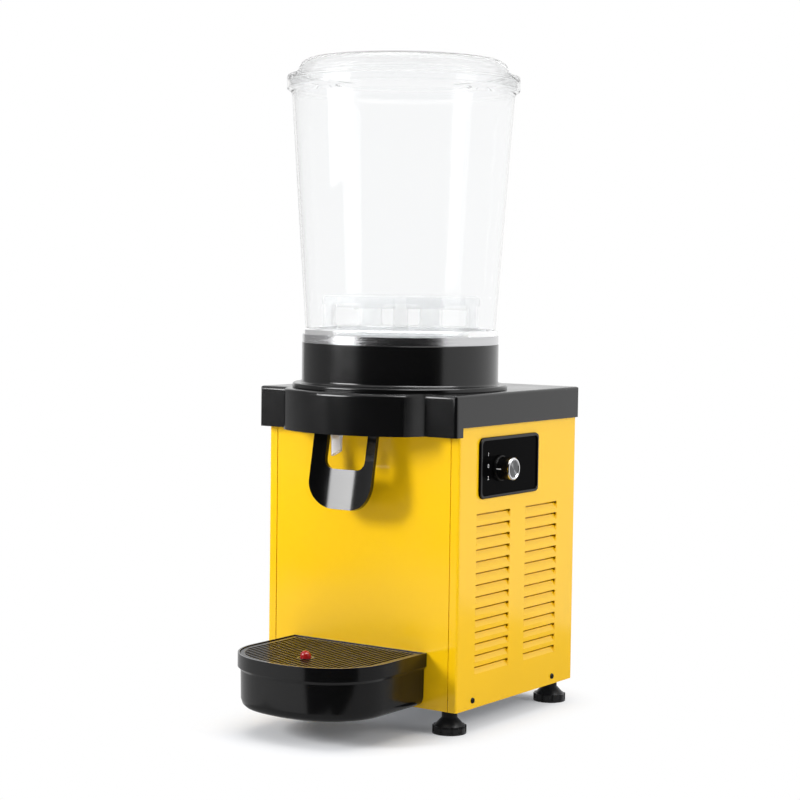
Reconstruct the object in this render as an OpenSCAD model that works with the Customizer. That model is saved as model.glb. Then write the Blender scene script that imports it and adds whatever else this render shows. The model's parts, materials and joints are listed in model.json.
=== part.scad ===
// Cold drink dispenser: a cooled cabinet that carries a clear bowl, a push-lever tap and a drip tray.
// Millimetres, +Z up, front towards -Y. The pieces are drawn in the cabinet's frame, with X = 0 at its
// middle, Y = 0 on the front panel and Z = 0 on the floor. place() then moves them all, so that the
// origin is on the floor under the middle of the whole object.

/* [Cabinet] */
// Width over the side panels
cabinet_w = 240; // [230:1:300]
// Depth from the front panel to the rear panel
cabinet_d = 232; // [225:1:320]
// Height of the panels
cabinet_h = 287; // [270:1:400]
// Thickness of the panel sheet
sheet_t = 1.2; // [0.8:0.1:2]
// Width of the side panels' folds on the front and the rear
fold_w = 10; // [6:1:16]
// Open seam beside a fold
seam_w = 0.8; // [0.4:0.1:1.6]
// Outer radius of the side panels' bends
bend_edge = 2.4; // [1.5:0.1:4]
// Depth of the inner flanges of the panels
flange_d = 12; // [8:1:16]
// Thickness of the base plate and the deck plate
plate_t = 1.5; // [1:0.1:3]

/* [Louvres] */
// Rows of louvres in a column
louvre_rows = 14; // [2:1:15]
// Length of a louvre
louvre_len = 65; // [30:1:75]
// Distance between rows
louvre_pitch = 12; // [10:0.5:13]
// Height of a louvre's opening
louvre_slot = 2.6; // [1.5:0.1:4]
// How far a louvre's flap leans into the cabinet
louvre_rise = 2.4; // [1.8:0.1:4]
// Height of the flap below a louvre's opening
louvre_hood = 5; // [3:0.5:6]
// From the top of the panel down to the first row
louvre_drop = 90; // [85:1:110]
// From the front of the cabinet to the first column
louvre_inset = 33; // [20:1:40]
// Distance between the two columns
louvre_step = 95.5; // [90:0.5:110]

/* [Top cover] */
// Height of the cover above the panels
cover_h = 33; // [30:1:60]
// How far the front skirt hangs below the panels' top
cover_drop = 9.5; // [8:0.5:14]
// Wall of the moulded cover
cover_wall = 3; // [2:0.1:4]
// Overhang beyond each side panel
cover_overhang = 4; // [1:0.1:6]
// How far the cover's sides reach in over the tops of the side panels
cover_seat = 1.4; // [1:0.1:2.4]
// Overhang of the flat front beyond the front panel
cover_front = 13; // [9:0.5:16]
// Radius of the cover's upright corners
cover_corner = 4; // [3:0.5:12]
// Radius of the cover's top edge
cover_edge = 4; // [3.5:0.1:6]
// Radius of the nose's round front
nose_r = 126; // [110:0.5:150]
// Reach of the nose in front of the front panel
nose_reach = 58.7; // [57:0.1:70]
// Half the width of the nose where its sides meet its round front
nose_half = 75.5; // [70:0.5:80]
// How far each side of the nose spreads towards the flat front
nose_flare = 10.4; // [4:0.2:14]

/* [Evaporator] */
// Bowl axis behind the front panel
bowl_y = 67.3; // [64:0.1:72]
// Outer radius of the black collar
collar_r = 103.3; // [101:0.1:106]
// Height of the collar
collar_h = 47; // [40:1:70]
// Wall of the collar
collar_wall = 3; // [2:0.1:3.4]
// Radius of the flared lip at the collar's foot
lip_flare_r = 113; // [108:0.5:118]
// Height of that lip
lip_flare_h = 5; // [3:0.5:8]
// Inner radius of the steel pot
pot_r = 87; // [86:0.5:88]
// Thickness of the pot's steel
pot_wall = 1; // [0.6:0.1:1.4]
// Height of the steel band above the collar
band_h = 8.5; // [6:0.5:12]
// Outer radius of the steel band
band_r = 103; // [102:0.1:104]
// Foam under the pot
foam_under = 8.5; // [8.5:0.5:12]
// Radius of the evaporator tube
coil_tube_r = 2.5; // [2:0.1:2.6]
// Turns of the evaporator tube
coil_turns = 10; // [4:1:12]

/* [Bowl and lid] */
// Outer radius at the bowl's foot
bowl_foot_r = 99.7; // [98.5:0.1:100.5]
// Outer radius below the bowl's lip
bowl_top_r = 116.4; // [112:0.1:120]
// Height of the bowl
bowl_h = 261; // [180:1:340]
// Wall of the bowl
bowl_wall = 2.6; // [2:0.1:3]
// Outer radius of the bowl's lip
bowl_lip_r = 121.6; // [121:0.1:126]
// Height of the lip
bowl_lip_h = 13; // [10:0.5:20]
// Height of the bowl gasket
gasket_h = 6.5; // [5:0.5:9]
// Height of the lid above the bowl
lid_h = 22; // [18:0.5:40]
// Radius of the lid's dome
lid_dome_r = 110; // [100:0.5:113]
// Radius of the dome's shoulder
lid_shoulder = 13; // [6:0.5:14]
// Wall of the lid
lid_wall = 2.4; // [1.6:0.1:3]
// Height of the lid's rim
lid_rim_h = 5; // [4:0.5:7]

/* [Mixer] */
// Outer radius of the mixer drum
drum_r = 83; // [70:0.5:84]
// Height of the drum's top above the pot's rim
drum_rise = 41.5; // [38:0.5:60]
// Wall of the drum
drum_wall = 2; // [1.5:0.1:3]
// Windows round the drum
drum_windows = 8; // [4:1:10]
// Height of a window
window_h = 23; // [12:0.5:24]
// Width of a window
window_w = 41.5; // [20:0.5:44]
// Radius of the fixed spindle
spindle_r = 4; // [3:0.1:5]
// Radius of the two coupling magnets
magnet_r = 30; // [20:0.5:31]

/* [Tap] */
// Spout axis in front of the front panel
spout_y = 43.5; // [43:0.1:45]
// Outer radius of the silicone hose
hose_r = 5.5; // [5:0.1:6]
// Wall of the hose
hose_wall = 1.45; // [1:0.05:1.6]
// Length of hose that shows below the nose
hose_show = 23; // [10:1:40]
// Length of the hose's slanted cut
hose_slant = 8; // [4:0.5:10]
// Outer radius of the outlet pipe's bend
bend_r = 8; // [7:0.5:9]
// Half the width of the push lever
lever_half = 39; // [33:0.5:40]
// Width of the lever's legs
lever_leg = 14; // [8:0.2:18]
// Lowest point of the lever below the nose
lever_drop = 76.5; // [60:0.5:100]
// Lower edge of the lever's window below the nose
lever_window = 36.2; // [30:0.2:44]
// Radius of the lever's lower corners
lever_corner = 28; // [10:1:32]
// Hollow curve of the lever, for the side of a cup
lever_curve = 102; // [60:1:160]
// Thickness of the lever
lever_t = 4.5; // [3:0.1:5]
// Forward lean of the lever at rest
lever_lean = 10.3; // [4:0.1:11]
// Lever pins in front of the front panel
pin_y = 33; // [32:0.5:34]
// Lever pins above the lower edge of the nose
pin_rise = 25.5; // [24:0.5:27]
// Radius of the lever pins
pin_r = 2.5; // [2:0.1:3]

/* [Drip tray] */
// Width of the tray
tray_w = 168.4; // [150:0.2:190]
// Reach in front of the front panel
tray_reach = 140.5; // [130:0.5:160]
// Radius of the round front
tray_front_r = 142; // [130:1:200]
// Radius of the two front corners
tray_corner_r = 67; // [40:1:70]
// Top of the tray above the panel's lower edge
tray_top = 57.5; // [50:0.5:80]
// Height of the tray
tray_h = 55; // [48:0.5:56]
// Height of the rim band
tray_rim = 14; // [10:0.5:18]
// Step from the rim band to the tray's body
tray_step = 3; // [2:0.1:5]
// Wall of the tray
tray_wall = 2; // [1.6:0.1:3]
// Thickness of the drip grid
grid_t = 3; // [2:0.1:4]
// Width of a slot in the grid
slot_w = 3; // [2:0.1:4]
// Distance between slots
slot_pitch = 5.6; // [4.5:0.1:8]
// Radius of the level float's red cap
float_r = 6; // [4:0.1:7]
// Level float in front of the front panel
float_y = 92; // [85:0.5:100]
// Width of the prongs that carry the tray
prong_w = 14; // [10:0.5:18]
// Thickness of the prongs
prong_t = 4; // [3:0.1:5]
// Length of the prongs in front of the panel
prong_l = 60; // [40:1:70]
// Half the distance between the prongs
prong_x = 45; // [36:1:50]

/* [Controls] */
// Length of the control panel
panel_l = 115; // [90:1:120]
// Height of the control panel
panel_h = 62.5; // [44:0.5:70]
// Radius of its corners
panel_corner = 8; // [6:0.5:12]
// How far its frame stands out
panel_proud = 3; // [2.4:0.1:5]
// Depth of its recessed face
panel_recess = 1.6; // [1:0.1:2]
// Middle of the control panel behind the front panel
panel_y = 92.5; // [80:0.5:110]
// Middle of the control panel below the panels' top
panel_drop = 43.2; // [40:0.1:46]
// Knob axis behind the front panel
knob_y = 73; // [65:0.5:120]
// From the middle of the control panel down to the knob's axis
knob_drop = 1.3; // [0:0.1:4]
// Radius of the knob's skirt
knob_skirt_r = 13.6; // [11:0.1:18]
// Radius of the knob's grip
knob_r = 11.5; // [8:0.1:12]
// Height of the knob
knob_h = 17.5; // [12:0.5:24]

/* [Feet] */
// Height of a foot under the panels
foot_h = 25; // [22:0.5:40]
// Radius of a foot's base
foot_r = 17.5; // [14:0.5:20]
// Radius of a foot's neck
foot_neck_r = 8; // [6:0.5:10]
// Lobes round a foot
foot_lobes = 10; // [6:1:14]
// Foot axis from the side of the cabinet
foot_inset = 20; // [19:0.5:30]
// Front feet behind the front panel
foot_front = 19; // [17:0.5:24]
// Rear feet in front of the rear panel
foot_rear = 12.5; // [12:0.5:24]
// Radius of a foot's stud
stud_r = 4; // [3:0.1:5]

/* [Cooling] */
// Radius of the compressor
compressor_r = 52; // [40:1:54]
// Height of the compressor's shell
compressor_h = 126; // [100:1:150]
// Thickness of the condenser
condenser_t = 26; // [18:1:30]
// Length of the condenser
condenser_l = 150; // [140:1:160]
// Height of the condenser
condenser_h = 158; // [146:1:170]
// Fins of the condenser
condenser_fins = 16; // [6:1:20]
// Radius of the fan
fan_r = 57; // [40:1:60]
// Blades of the fan
fan_blades = 5; // [3:1:7]
// Radius of the refrigerant lines
line_r = 3; // [2:0.1:3.5]

/* [Clearances] */
// Radial clearance of a turning shaft
run_gap = 0.05; // [0.02:0.01:0.1]
// Clearance between pieces that slide, lift or swing apart
slip_gap = 0.4; // [0.3:0.05:0.6]

/* [Hidden] */
$fn = 96;

steel = "silver";
paint = "gold";
black = "#1c1c1e";
clear = [0.92, 0.95, 0.97, 0.4];

// Levels
half_w = cabinet_w / 2;
panel_top = foot_h + cabinet_h;
cover_top = panel_top + cover_h;
skirt_z = panel_top - cover_drop;
base_top = foot_h + plate_t;
deck_top = panel_top + plate_t;
pot_floor = deck_top + foam_under;
band_z = cover_top + collar_h;
rim_z = band_z + band_h;
inner_half = half_w - sheet_t;

// Whole box, from the cover's left side to the knob and from the tray to the gland
panel_face = panel_proud - panel_recess;
knob_tip = half_w + panel_face + slip_gap + knob_h;
gland_out = 9;
mid_x = (knob_tip - half_w - cover_overhang) / 2;
mid_y = (cabinet_d + gland_out - tray_reach) / 2;

module place() {
    translate([-mid_x, -mid_y, 0]) children();
}

// Moves a shape on to the bowl's upright axis
module on_axis(z = 0) {
    translate([0, bowl_y, z]) children();
}

// Turns a shape drawn upright so that its height runs along +X
module along_x(y, z) {
    translate([0, y, z]) rotate([90, 0, 90]) children();
}

module rounded_rect(w, h, r) {
    square([w, h - 2 * r], center = true);
    square([w - 2 * r, h], center = true);
    for (sx = [-1, 1], sy = [-1, 1]) {
        translate([sx * (w / 2 - r), sy * (h / 2 - r)]) circle(r);
    }
}

// Upright outline with two round top corners
module arch_outline(w, h, e) {
    translate([-w / 2, 0]) square([w, h - e]);
    translate([-w / 2 + e, 0]) square([w - 2 * e, h]);
    for (s = [-1, 1]) {
        translate([s * (w / 2 - e), h - e]) circle(e);
    }
}

// Block with round upright corners and a round top edge
module soft_block(w, d, h, r, e) {
    over = 1;
    intersection() {
        linear_extrude(h) rounded_rect(w, d, r);
        translate([0, d / 2 + over, 0]) rotate([90, 0, 0]) {
            linear_extrude(d + 2 * over) arch_outline(w, h, e);
        }
        translate([-w / 2 - over, 0, 0]) rotate([90, 0, 90]) {
            linear_extrude(w + 2 * over) arch_outline(d, h, e);
        }
    }
}

module ring(r_out, r_in, h) {
    difference() {
        cylinder(h = h, r = r_out);
        translate([0, 0, -1]) cylinder(h = h + 2, r = r_in);
    }
}

module box(low, high) {
    translate(low) cube(high - low);
}

// Round bar between two points
module rod(p, q, r) {
    d = q - p;
    translate(p) rotate([0, acos(d[2] / norm(d)), atan2(d[1], d[0])]) cylinder(h = norm(d), r = r);
}

// Bent round bar through a list of points
module bent_rod(points, r) {
    for (i = [0 : len(points) - 2]) {
        rod(points[i], points[i + 1], r);
    }
    for (i = [1 : len(points) - 2]) {
        translate(points[i]) sphere(r);
    }
}

// Feet
foot_gap = 0.3;
foot_places = [
    [half_w - foot_inset, foot_front],
    [-half_w + foot_inset, foot_front],
    [half_w - foot_inset, cabinet_d - foot_rear],
    [-half_w + foot_inset, cabinet_d - foot_rear]
];
nut_h = 6.5;
nut_r = 7.5;

module foot(i) {
    base_h = 8;
    cone_h = 8;
    lobe_r = 3;
    translate(foot_places[i]) {
        difference() {
            union() {
                cylinder(h = base_h, r = foot_r);
                translate([0, 0, base_h]) cylinder(h = cone_h, r1 = foot_r - 2, r2 = foot_neck_r);
                translate([0, 0, base_h + cone_h]) {
                    cylinder(h = foot_h - foot_gap - base_h - cone_h, r = foot_neck_r);
                }
            }
            for (k = [0 : foot_lobes - 1]) {
                rotate([0, 0, (k + 0.5) * 360 / foot_lobes]) translate([foot_r + lobe_r / 2, 0, 2]) {
                    cylinder(h = base_h + cone_h / 2, r = lobe_r);
                }
            }
        }
        cylinder(h = base_top + nut_h + 6, r = stud_r);
    }
}

module front_right_foot() {
    color(black) place() foot(0);
}

module front_left_foot() {
    color(black) place() foot(1);
}

module rear_right_foot() {
    color(black) place() foot(2);
}

module rear_left_foot() {
    color(black) place() foot(3);
}

module foot_nuts() {
    color(steel) place() for (p = foot_places) {
        translate([p[0], p[1], base_top]) difference() {
            cylinder(h = nut_h, r = nut_r, $fn = 6);
            translate([0, 0, -1]) cylinder(h = nut_h + 2, r = stud_r + run_gap);
        }
    }
}

// Panel screws, two near the foot of each side panel and four in the rear panel
screw_r = 2;
screw_head_r = 3;
screw_head_h = 1.6;
screw_len = 6;
side_screw_z = foot_h + 8.5;
screw_front = 30;
screw_rear = 43;
side_screw_y = [screw_front, cabinet_d - screw_rear];
rear_screw_in = 22;
rear_screw_x = half_w - rear_screw_in;
rear_screw_z = [side_screw_z, panel_top - 8];

module screw() {
    cylinder(h = screw_head_h, r1 = screw_head_r, r2 = screw_head_r - 0.6);
    translate([0, 0, -screw_len]) cylinder(h = screw_len, r = screw_r);
}

module side_screws() {
    for (s = [-1, 1], y = side_screw_y) {
        translate([s * half_w, y, side_screw_z]) rotate([0, s * 90, 0]) children();
    }
}

module rear_screws() {
    for (s = [-1, 1], z = rear_screw_z) {
        translate([s * rear_screw_x, cabinet_d, z]) rotate([-90, 0, 0]) children();
    }
}

module screw_hole() {
    translate([0, 0, -screw_len - 1]) cylinder(h = screw_len + 2, r = screw_r + slip_gap / 4);
}

module panel_screws() {
    color("#26262a") place() {
        side_screws() screw();
        rear_screws() screw();
    }
}

// Compressor, on rubber mounts
compressor_in = 60;
compressor_x = -half_w + compressor_in;
compressor_y = 85;
mount_h = 10;
mount_r = 9;
mount_at = 46;
bracket_t = 2.5;
compressor_z = base_top + mount_h + bracket_t;
compressor_edge = 22;

// Plan of the base plate, its corners clear of the panels' bends
module base_plan() {
    translate([0, cabinet_d / 2]) rounded_rect(2 * inner_half, cabinet_d - 2 * sheet_t, bend_edge);
}

// Plan of the base plate's upright flanges
module base_flanges() {
    front_half = half_w - fold_w - seam_w - 2 * sheet_t;
    for (s = [-1, 1]) {
        translate([s * (inner_half - plate_t / 2), cabinet_d / 2]) {
            square([plate_t, cabinet_d], center = true);
        }
    }
    translate([-front_half, sheet_t]) square([2 * front_half, plate_t]);
    translate([-front_half, cabinet_d - sheet_t - plate_t]) square([2 * front_half, plate_t]);
}

module base_plate() {
    color(steel) place() difference() {
        translate([0, 0, foot_h]) union() {
            linear_extrude(plate_t) base_plan();
            linear_extrude(flange_d) intersection() {
                base_plan();
                base_flanges();
            }
        }
        for (p = foot_places) {
            translate([p[0], p[1], foot_h - 1]) cylinder(h = plate_t + 2, r = stud_r + slip_gap / 2);
        }
        side_screws() screw_hole();
        rear_screws() screw_hole();
    }
}

// Sheet panels
panel_half = half_w - fold_w - seam_w;
return_z = foot_h + flange_d + 4;
prong_z = foot_h + tray_top - tray_h + 18;
gland_at = [-half_w + 40, foot_h + 38];
gland_r = 8;

module flat_panel() {
    box([-panel_half, 0, foot_h], [panel_half, sheet_t, panel_top]);
    for (s = [-1, 1]) {
        translate([s * (panel_half - sheet_t / 2), flange_d / 2, (return_z + panel_top) / 2]) {
            cube([sheet_t, flange_d, panel_top - return_z], center = true);
        }
    }
    box([-panel_half, 0, panel_top - sheet_t], [panel_half, flange_d, panel_top]);
}

module front_panel() {
    color(paint) place() difference() {
        flat_panel();
        for (s = [-1, 1]) {
            translate([s * prong_x, 0, prong_z]) {
                cube([prong_w + slip_gap, 4 * sheet_t, prong_t + slip_gap], center = true);
            }
        }
    }
}

module rear_panel() {
    vent_rows = 8;
    vent_l = 60;
    vent_step = 36;
    color(paint) place() difference() {
        translate([0, cabinet_d, 0]) mirror([0, 1, 0]) flat_panel();
        for (k = [0 : vent_rows - 1], s = [-1, 1]) {
            translate([s * vent_step, cabinet_d + 1, foot_h + cabinet_h / 3 + k * louvre_pitch]) {
                rotate([90, 0, 0]) linear_extrude(sheet_t + 2) {
                    rounded_rect(vent_l, louvre_slot, louvre_slot / 2 - 0.1);
                }
            }
        }
        translate([gland_at[0], cabinet_d + 1, gland_at[1]]) rotate([90, 0, 0]) {
            cylinder(h = sheet_t + 2, r = gland_r + slip_gap / 4);
        }
        rear_screws() screw_hole();
    }
}

function louvre_z(i) = panel_top - louvre_drop - i * louvre_pitch;

module louvre_places() {
    for (c = [0, 1], i = [0 : louvre_rows - 1]) {
        translate([half_w, louvre_inset + c * louvre_step + louvre_len / 2, louvre_z(i)]) children();
    }
}

// Flap below one opening, pressed inward so that its upper edge lies behind the sheet
module louvre_flap() {
    end_gap = 0.8;
    lap = 0.5;
    upper = -louvre_slot / 2;
    lower = upper - louvre_hood;
    rotate([90, 0, 0]) linear_extrude(louvre_len - 2 * end_gap, center = true) polygon([
        [0, lower - lap],
        [0, lower],
        [-louvre_rise, upper],
        [-louvre_rise - sheet_t, upper],
        [-sheet_t, lower],
        [-sheet_t, lower - lap]
    ]);
}

// Plan of a side panel: a wall and two folds with round bends
module side_plan() {
    intersection() {
        translate([0, cabinet_d / 2]) difference() {
            rounded_rect(cabinet_w, cabinet_d, bend_edge);
            rounded_rect(2 * inner_half, cabinet_d - 2 * sheet_t, bend_edge - sheet_t);
        }
        translate([half_w - fold_w, -1]) square([fold_w + 1, cabinet_d + 2]);
    }
}

module side_panel(has_controls) {
    difference() {
        union() {
            difference() {
                union() {
                    translate([0, 0, foot_h]) linear_extrude(cabinet_h) side_plan();
                    box([half_w - flange_d, flange_d + seam_w, panel_top - sheet_t],
                        [half_w - sheet_t / 2, cabinet_d - flange_d - seam_w, panel_top]);
                }
                louvre_places() translate([-sheet_t, 0, -louvre_hood / 2]) {
                    cube([3 * sheet_t, louvre_len, louvre_slot + louvre_hood], center = true);
                }
            }
            louvre_places() louvre_flap();
        }
        side_screws() screw_hole();
        if (has_controls) {
            translate([inner_half - 1, 0, 0]) along_x(panel_y, panel_z) linear_extrude(sheet_t + 2) {
                panel_outline(panel_lap - slip_gap / 2);
            }
        }
    }
}

module right_side_panel() {
    color(paint) place() side_panel(true);
}

module left_side_panel() {
    color(paint) place() mirror([1, 0, 0]) side_panel(false);
}

// Deck plate, which carries the pot and its foam
deck_half = half_w - cover_wall;
deck_tongue_r = pot_r + 4;
magnet_well_r = magnet_r + 3;
line_at = 40;
coil_r = pot_r + pot_wall + coil_tube_r + 0.1;

function coil_point(a) = [coil_r * sin(a), bowl_y + coil_r * cos(a)];

module line_holes(z, h) {
    for (a = [-line_at, line_at]) {
        translate([coil_point(a)[0], coil_point(a)[1], z]) cylinder(h = h, r = line_r + slip_gap);
    }
}

module deck_plate() {
    edge = cover_wall + slip_gap;
    color(steel) place() difference() {
        union() {
            box([-deck_half, sheet_t, panel_top], [deck_half, cabinet_d - edge, deck_top]);
            on_axis(panel_top) cylinder(h = plate_t, r = deck_tongue_r);
        }
        on_axis(panel_top - 1) cylinder(h = plate_t + 2, r = magnet_well_r);
        line_holes(panel_top - 1, plate_t + 2);
    }
}

// Top cover: a hollow moulding with a flat front, a round nose and a front skirt
foam_r = collar_r - collar_wall - slip_gap;
cover_hole_r = foam_r + slip_gap;
nose_y = nose_r - nose_reach;
nose_corner_y = nose_y - sqrt(nose_r * nose_r - nose_half * nose_half);
nose_depth = -cover_front - nose_corner_y;
nose_slope = nose_flare / nose_depth;

module nose_wedge(inset) {
    near = 4;
    far = 40;
    base = nose_half + nose_flare - inset * sqrt(1 + nose_slope * nose_slope);
    polygon([
        [-base - near * nose_slope, -cover_front + near],
        [-base + (nose_depth + far) * nose_slope, nose_corner_y - far],
        [base - (nose_depth + far) * nose_slope, nose_corner_y - far],
        [base + near * nose_slope, -cover_front + near]
    ]);
}

module nose_form(inset, low) {
    h = cover_top - inset - low;
    e = max(cover_edge - inset, 0.5);
    r = nose_r - inset;
    intersection() {
        translate([0, nose_y, low]) rotate_extrude() {
            square([r - e, h]);
            square([r, h - e]);
            translate([r - e, h - e]) circle(e);
        }
        translate([0, 0, low - 1]) linear_extrude(h + 2) nose_wedge(inset);
    }
}

module cover_form(inset, half, low, skirt_low) {
    w = 2 * half;
    d = cabinet_d + cover_front - 2 * inset;
    y = (cabinet_d - cover_front) / 2;
    corner = max(cover_corner - inset, 1);
    e = max(cover_edge - inset, 0.5);
    translate([0, y, low]) soft_block(w, d, cover_top - inset - low, corner, e);
    intersection() {
        translate([0, y, skirt_low]) {
            linear_extrude(panel_top + 2 * cover_edge - skirt_low) rounded_rect(w, d, corner);
        }
        box([-w, -2 * cover_front, skirt_low - 1], [w, -slip_gap, cover_top]);
    }
    nose_form(inset, skirt_low);
}

module top_cover() {
    below = 2;
    color(black) place() difference() {
        cover_form(0, half_w + cover_overhang, panel_top, skirt_z);
        cover_form(cover_wall, half_w - cover_seat, panel_top - below, skirt_z - below);
        on_axis(cover_top - 2 * cover_wall) cylinder(h = 3 * cover_wall, r = cover_hole_r);
    }
}

module collar() {
    round = 2;
    inner = collar_r - collar_wall;
    color(black) place() on_axis(cover_top) rotate_extrude() {
        translate([inner, 0]) square([collar_wall, collar_h]);
        translate([inner, 0]) square([lip_flare_r - inner, lip_flare_h - round]);
        translate([inner, 0]) square([lip_flare_r - inner - round, lip_flare_h]);
        translate([lip_flare_r - round, lip_flare_h - round]) circle(round);
        translate([collar_r, lip_flare_h]) difference() {
            square(2 * round);
            translate([2 * round, 2 * round]) circle(2 * round);
        }
    }
}

// Tap outlet
pipe_r = hose_r - hose_wall;
pipe_wall = 1;
outlet_z = pot_floor + pot_wall + pipe_r + 1;

module outlet_hole(gap) {
    translate([0, bowl_y, outlet_z]) rotate([90, 0, 0]) cylinder(h = foam_r + 10, r = pipe_r + gap);
}

module evaporator_pot() {
    color(steel) place() difference() {
        on_axis() rotate_extrude() {
            translate([0, pot_floor]) square([pot_r + pot_wall, pot_wall]);
            translate([pot_r, pot_floor]) square([pot_wall, rim_z - pot_floor]);
            translate([pot_r, rim_z - pot_wall]) square([band_r - pot_r, pot_wall]);
            translate([band_r - pot_wall, band_z]) square([pot_wall, band_h]);
        }
        outlet_hole(run_gap);
    }
}

coil_z = outlet_z + pipe_r + coil_tube_r + 1.5;

module evaporator_coil() {
    color("peru") place() on_axis(coil_z) rotate_extrude() {
        for (k = [0 : coil_turns - 1]) {
            translate([coil_r, k * (2 * coil_tube_r - 0.2)]) circle(coil_tube_r);
        }
    }
}

foam_inner = coil_r + coil_tube_r + 0.3;

module foam_insulation() {
    color("khaki") place() difference() {
        on_axis(deck_top) cylinder(h = rim_z - 2 * pot_wall - deck_top, r = foam_r);
        on_axis(pot_floor) cylinder(h = rim_z, r = foam_inner);
        on_axis(deck_top - 1) cylinder(h = foam_under + 2, r = magnet_well_r);
        line_holes(deck_top - 1, foam_under + 2);
        outlet_hole(slip_gap);
    }
}

// Bowl, gasket and lid
bowl_seat = 2;
bowl_z = rim_z + bowl_seat + slip_gap;
bowl_top = bowl_z + bowl_h;
lip_z = bowl_top - bowl_lip_h;
lip_slope = 4;

module bowl_gasket() {
    inner = bowl_foot_r - bowl_wall;
    color("#dcdcdc") place() on_axis(rim_z) rotate_extrude() difference() {
        translate([inner - 2, 0]) square([band_r - 0.5 - inner + 2, gasket_h]);
        translate([inner - slip_gap, bowl_seat]) square([bowl_wall + 2 * slip_gap, gasket_h]);
        translate([band_r - 0.5, gasket_h]) rotate(45) square(2, center = true);
    }
}

module bowl() {
    color(clear) place() on_axis() rotate_extrude() polygon([
        [bowl_foot_r, bowl_z],
        [bowl_top_r, lip_z],
        [bowl_lip_r, lip_z + lip_slope],
        [bowl_lip_r, bowl_top],
        [bowl_lip_r - bowl_wall, bowl_top],
        [bowl_lip_r - bowl_wall, lip_z + lip_slope + 1],
        [bowl_top_r - bowl_wall, lip_z + 1],
        [bowl_foot_r - bowl_wall, bowl_z]
    ]);
}

module dome_outline(inset) {
    step_r = lid_dome_r + 4;
    step_h = lid_rim_h + 3;
    e = lid_shoulder - inset;
    r = lid_dome_r - inset;
    h = lid_h - inset;
    square([r - e, h]);
    square([r, h - e]);
    translate([r - e, h - e]) intersection() {
        circle(e);
        square(e);
    }
    square([step_r - inset, step_h - inset]);
}

module lid() {
    plug_h = 7;
    plug_r = bowl_lip_r - bowl_wall - slip_gap;
    color(clear) place() on_axis(bowl_top + slip_gap / 2) rotate_extrude() {
        difference() {
            union() {
                square([bowl_lip_r, lid_wall]);
                translate([bowl_lip_r - lid_wall, 0]) square([lid_wall, lid_rim_h]);
                dome_outline(0);
            }
            translate([0, -0.01]) dome_outline(lid_wall);
        }
        translate([plug_r - lid_wall, -plug_h]) square([lid_wall, plug_h + lid_wall]);
    }
}

// Mixer drum, turned through the pot's floor by a pair of magnets
drum_z = pot_floor + pot_wall + 12;
drum_top = rim_z + drum_rise;
hub_z = pot_floor + pot_wall + 4;
hub_h = 11;
hub_r = spindle_r + 4;
spindle_top = hub_z + 45;
magnet_h = 6;
window_z = drum_top - 10 - window_h / 2;
window_turn = 34.5;

module mixer_drum() {
    round = 5;
    rib_w = 3;
    color([0.9, 0.93, 0.95, 0.7]) place() on_axis() difference() {
        union() {
            difference() {
                rotate_extrude() {
                    translate([0, drum_z]) square([drum_r, drum_top - drum_z - round]);
                    translate([0, drum_z]) square([drum_r - round, drum_top - drum_z]);
                    translate([drum_r - round, drum_top - round]) circle(round);
                }
                translate([0, 0, drum_z - 1]) {
                    cylinder(h = drum_top - drum_z + 1 - drum_wall, r = drum_r - drum_wall);
                }
                for (k = [0 : drum_windows - 1]) {
                    rotate([0, 0, window_turn + k * 360 / drum_windows]) {
                        translate([drum_r - 2 * round, 0, window_z]) rotate([90, 0, 90]) {
                            linear_extrude(4 * round) rounded_rect(window_w, window_h, 4);
                        }
                    }
                }
            }
            translate([0, 0, hub_z]) cylinder(h = hub_h, r = magnet_r + 2);
            translate([0, 0, hub_z]) cylinder(h = drum_top - drum_wall / 2 - hub_z, r = hub_r);
            for (k = [0 : 3]) {
                rotate([0, 0, 90 * k]) translate([hub_r - 1, -rib_w / 2, drum_top - 14]) {
                    cube([drum_r - hub_r - drum_wall / 2 + 1, rib_w, 13]);
                }
            }
        }
        translate([0, 0, hub_z - 1]) cylinder(h = spindle_top - hub_z + 3, r = spindle_r + run_gap);
        translate([0, 0, hub_z + 2]) ring(magnet_r, hub_r + 1, magnet_h);
    }
}

module drum_magnet() {
    color("dimgray") place() on_axis(hub_z + 2) ring(magnet_r, hub_r + 1, magnet_h);
}

module mixer_spindle() {
    color(steel) place() on_axis(pot_floor + pot_wall) {
        cylinder(h = hub_z - pot_floor - pot_wall - slip_gap, r = hub_r);
        cylinder(h = spindle_top - pot_floor - pot_wall, r = spindle_r);
    }
}

// Mixer motor, hung under the deck
shaft_r = 3;
drive_z = pot_floor - 8.2;
motor_top = panel_top - 16;
motor_h = 46;
motor_r = 28;
boss_r = 10;
boss_h = 4;

module drive_magnet() {
    color("dimgray") place() on_axis(drive_z) ring(magnet_r, shaft_r + run_gap / 2, magnet_h + 1);
}

module motor_shaft() {
    deep = 20;
    color(steel) place() on_axis(motor_top - deep) {
        cylinder(h = drive_z + magnet_h + 1 - motor_top + deep, r = shaft_r);
    }
}

module mixer_motor() {
    color("#3a3a3e") place() on_axis() difference() {
        union() {
            translate([0, 0, motor_top - motor_h]) cylinder(h = motor_h, r = motor_r);
            translate([0, 0, motor_top]) cylinder(h = boss_h, r = boss_r);
        }
        translate([0, 0, motor_top - 21]) cylinder(h = 40, r = shaft_r + run_gap);
    }
}

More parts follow.
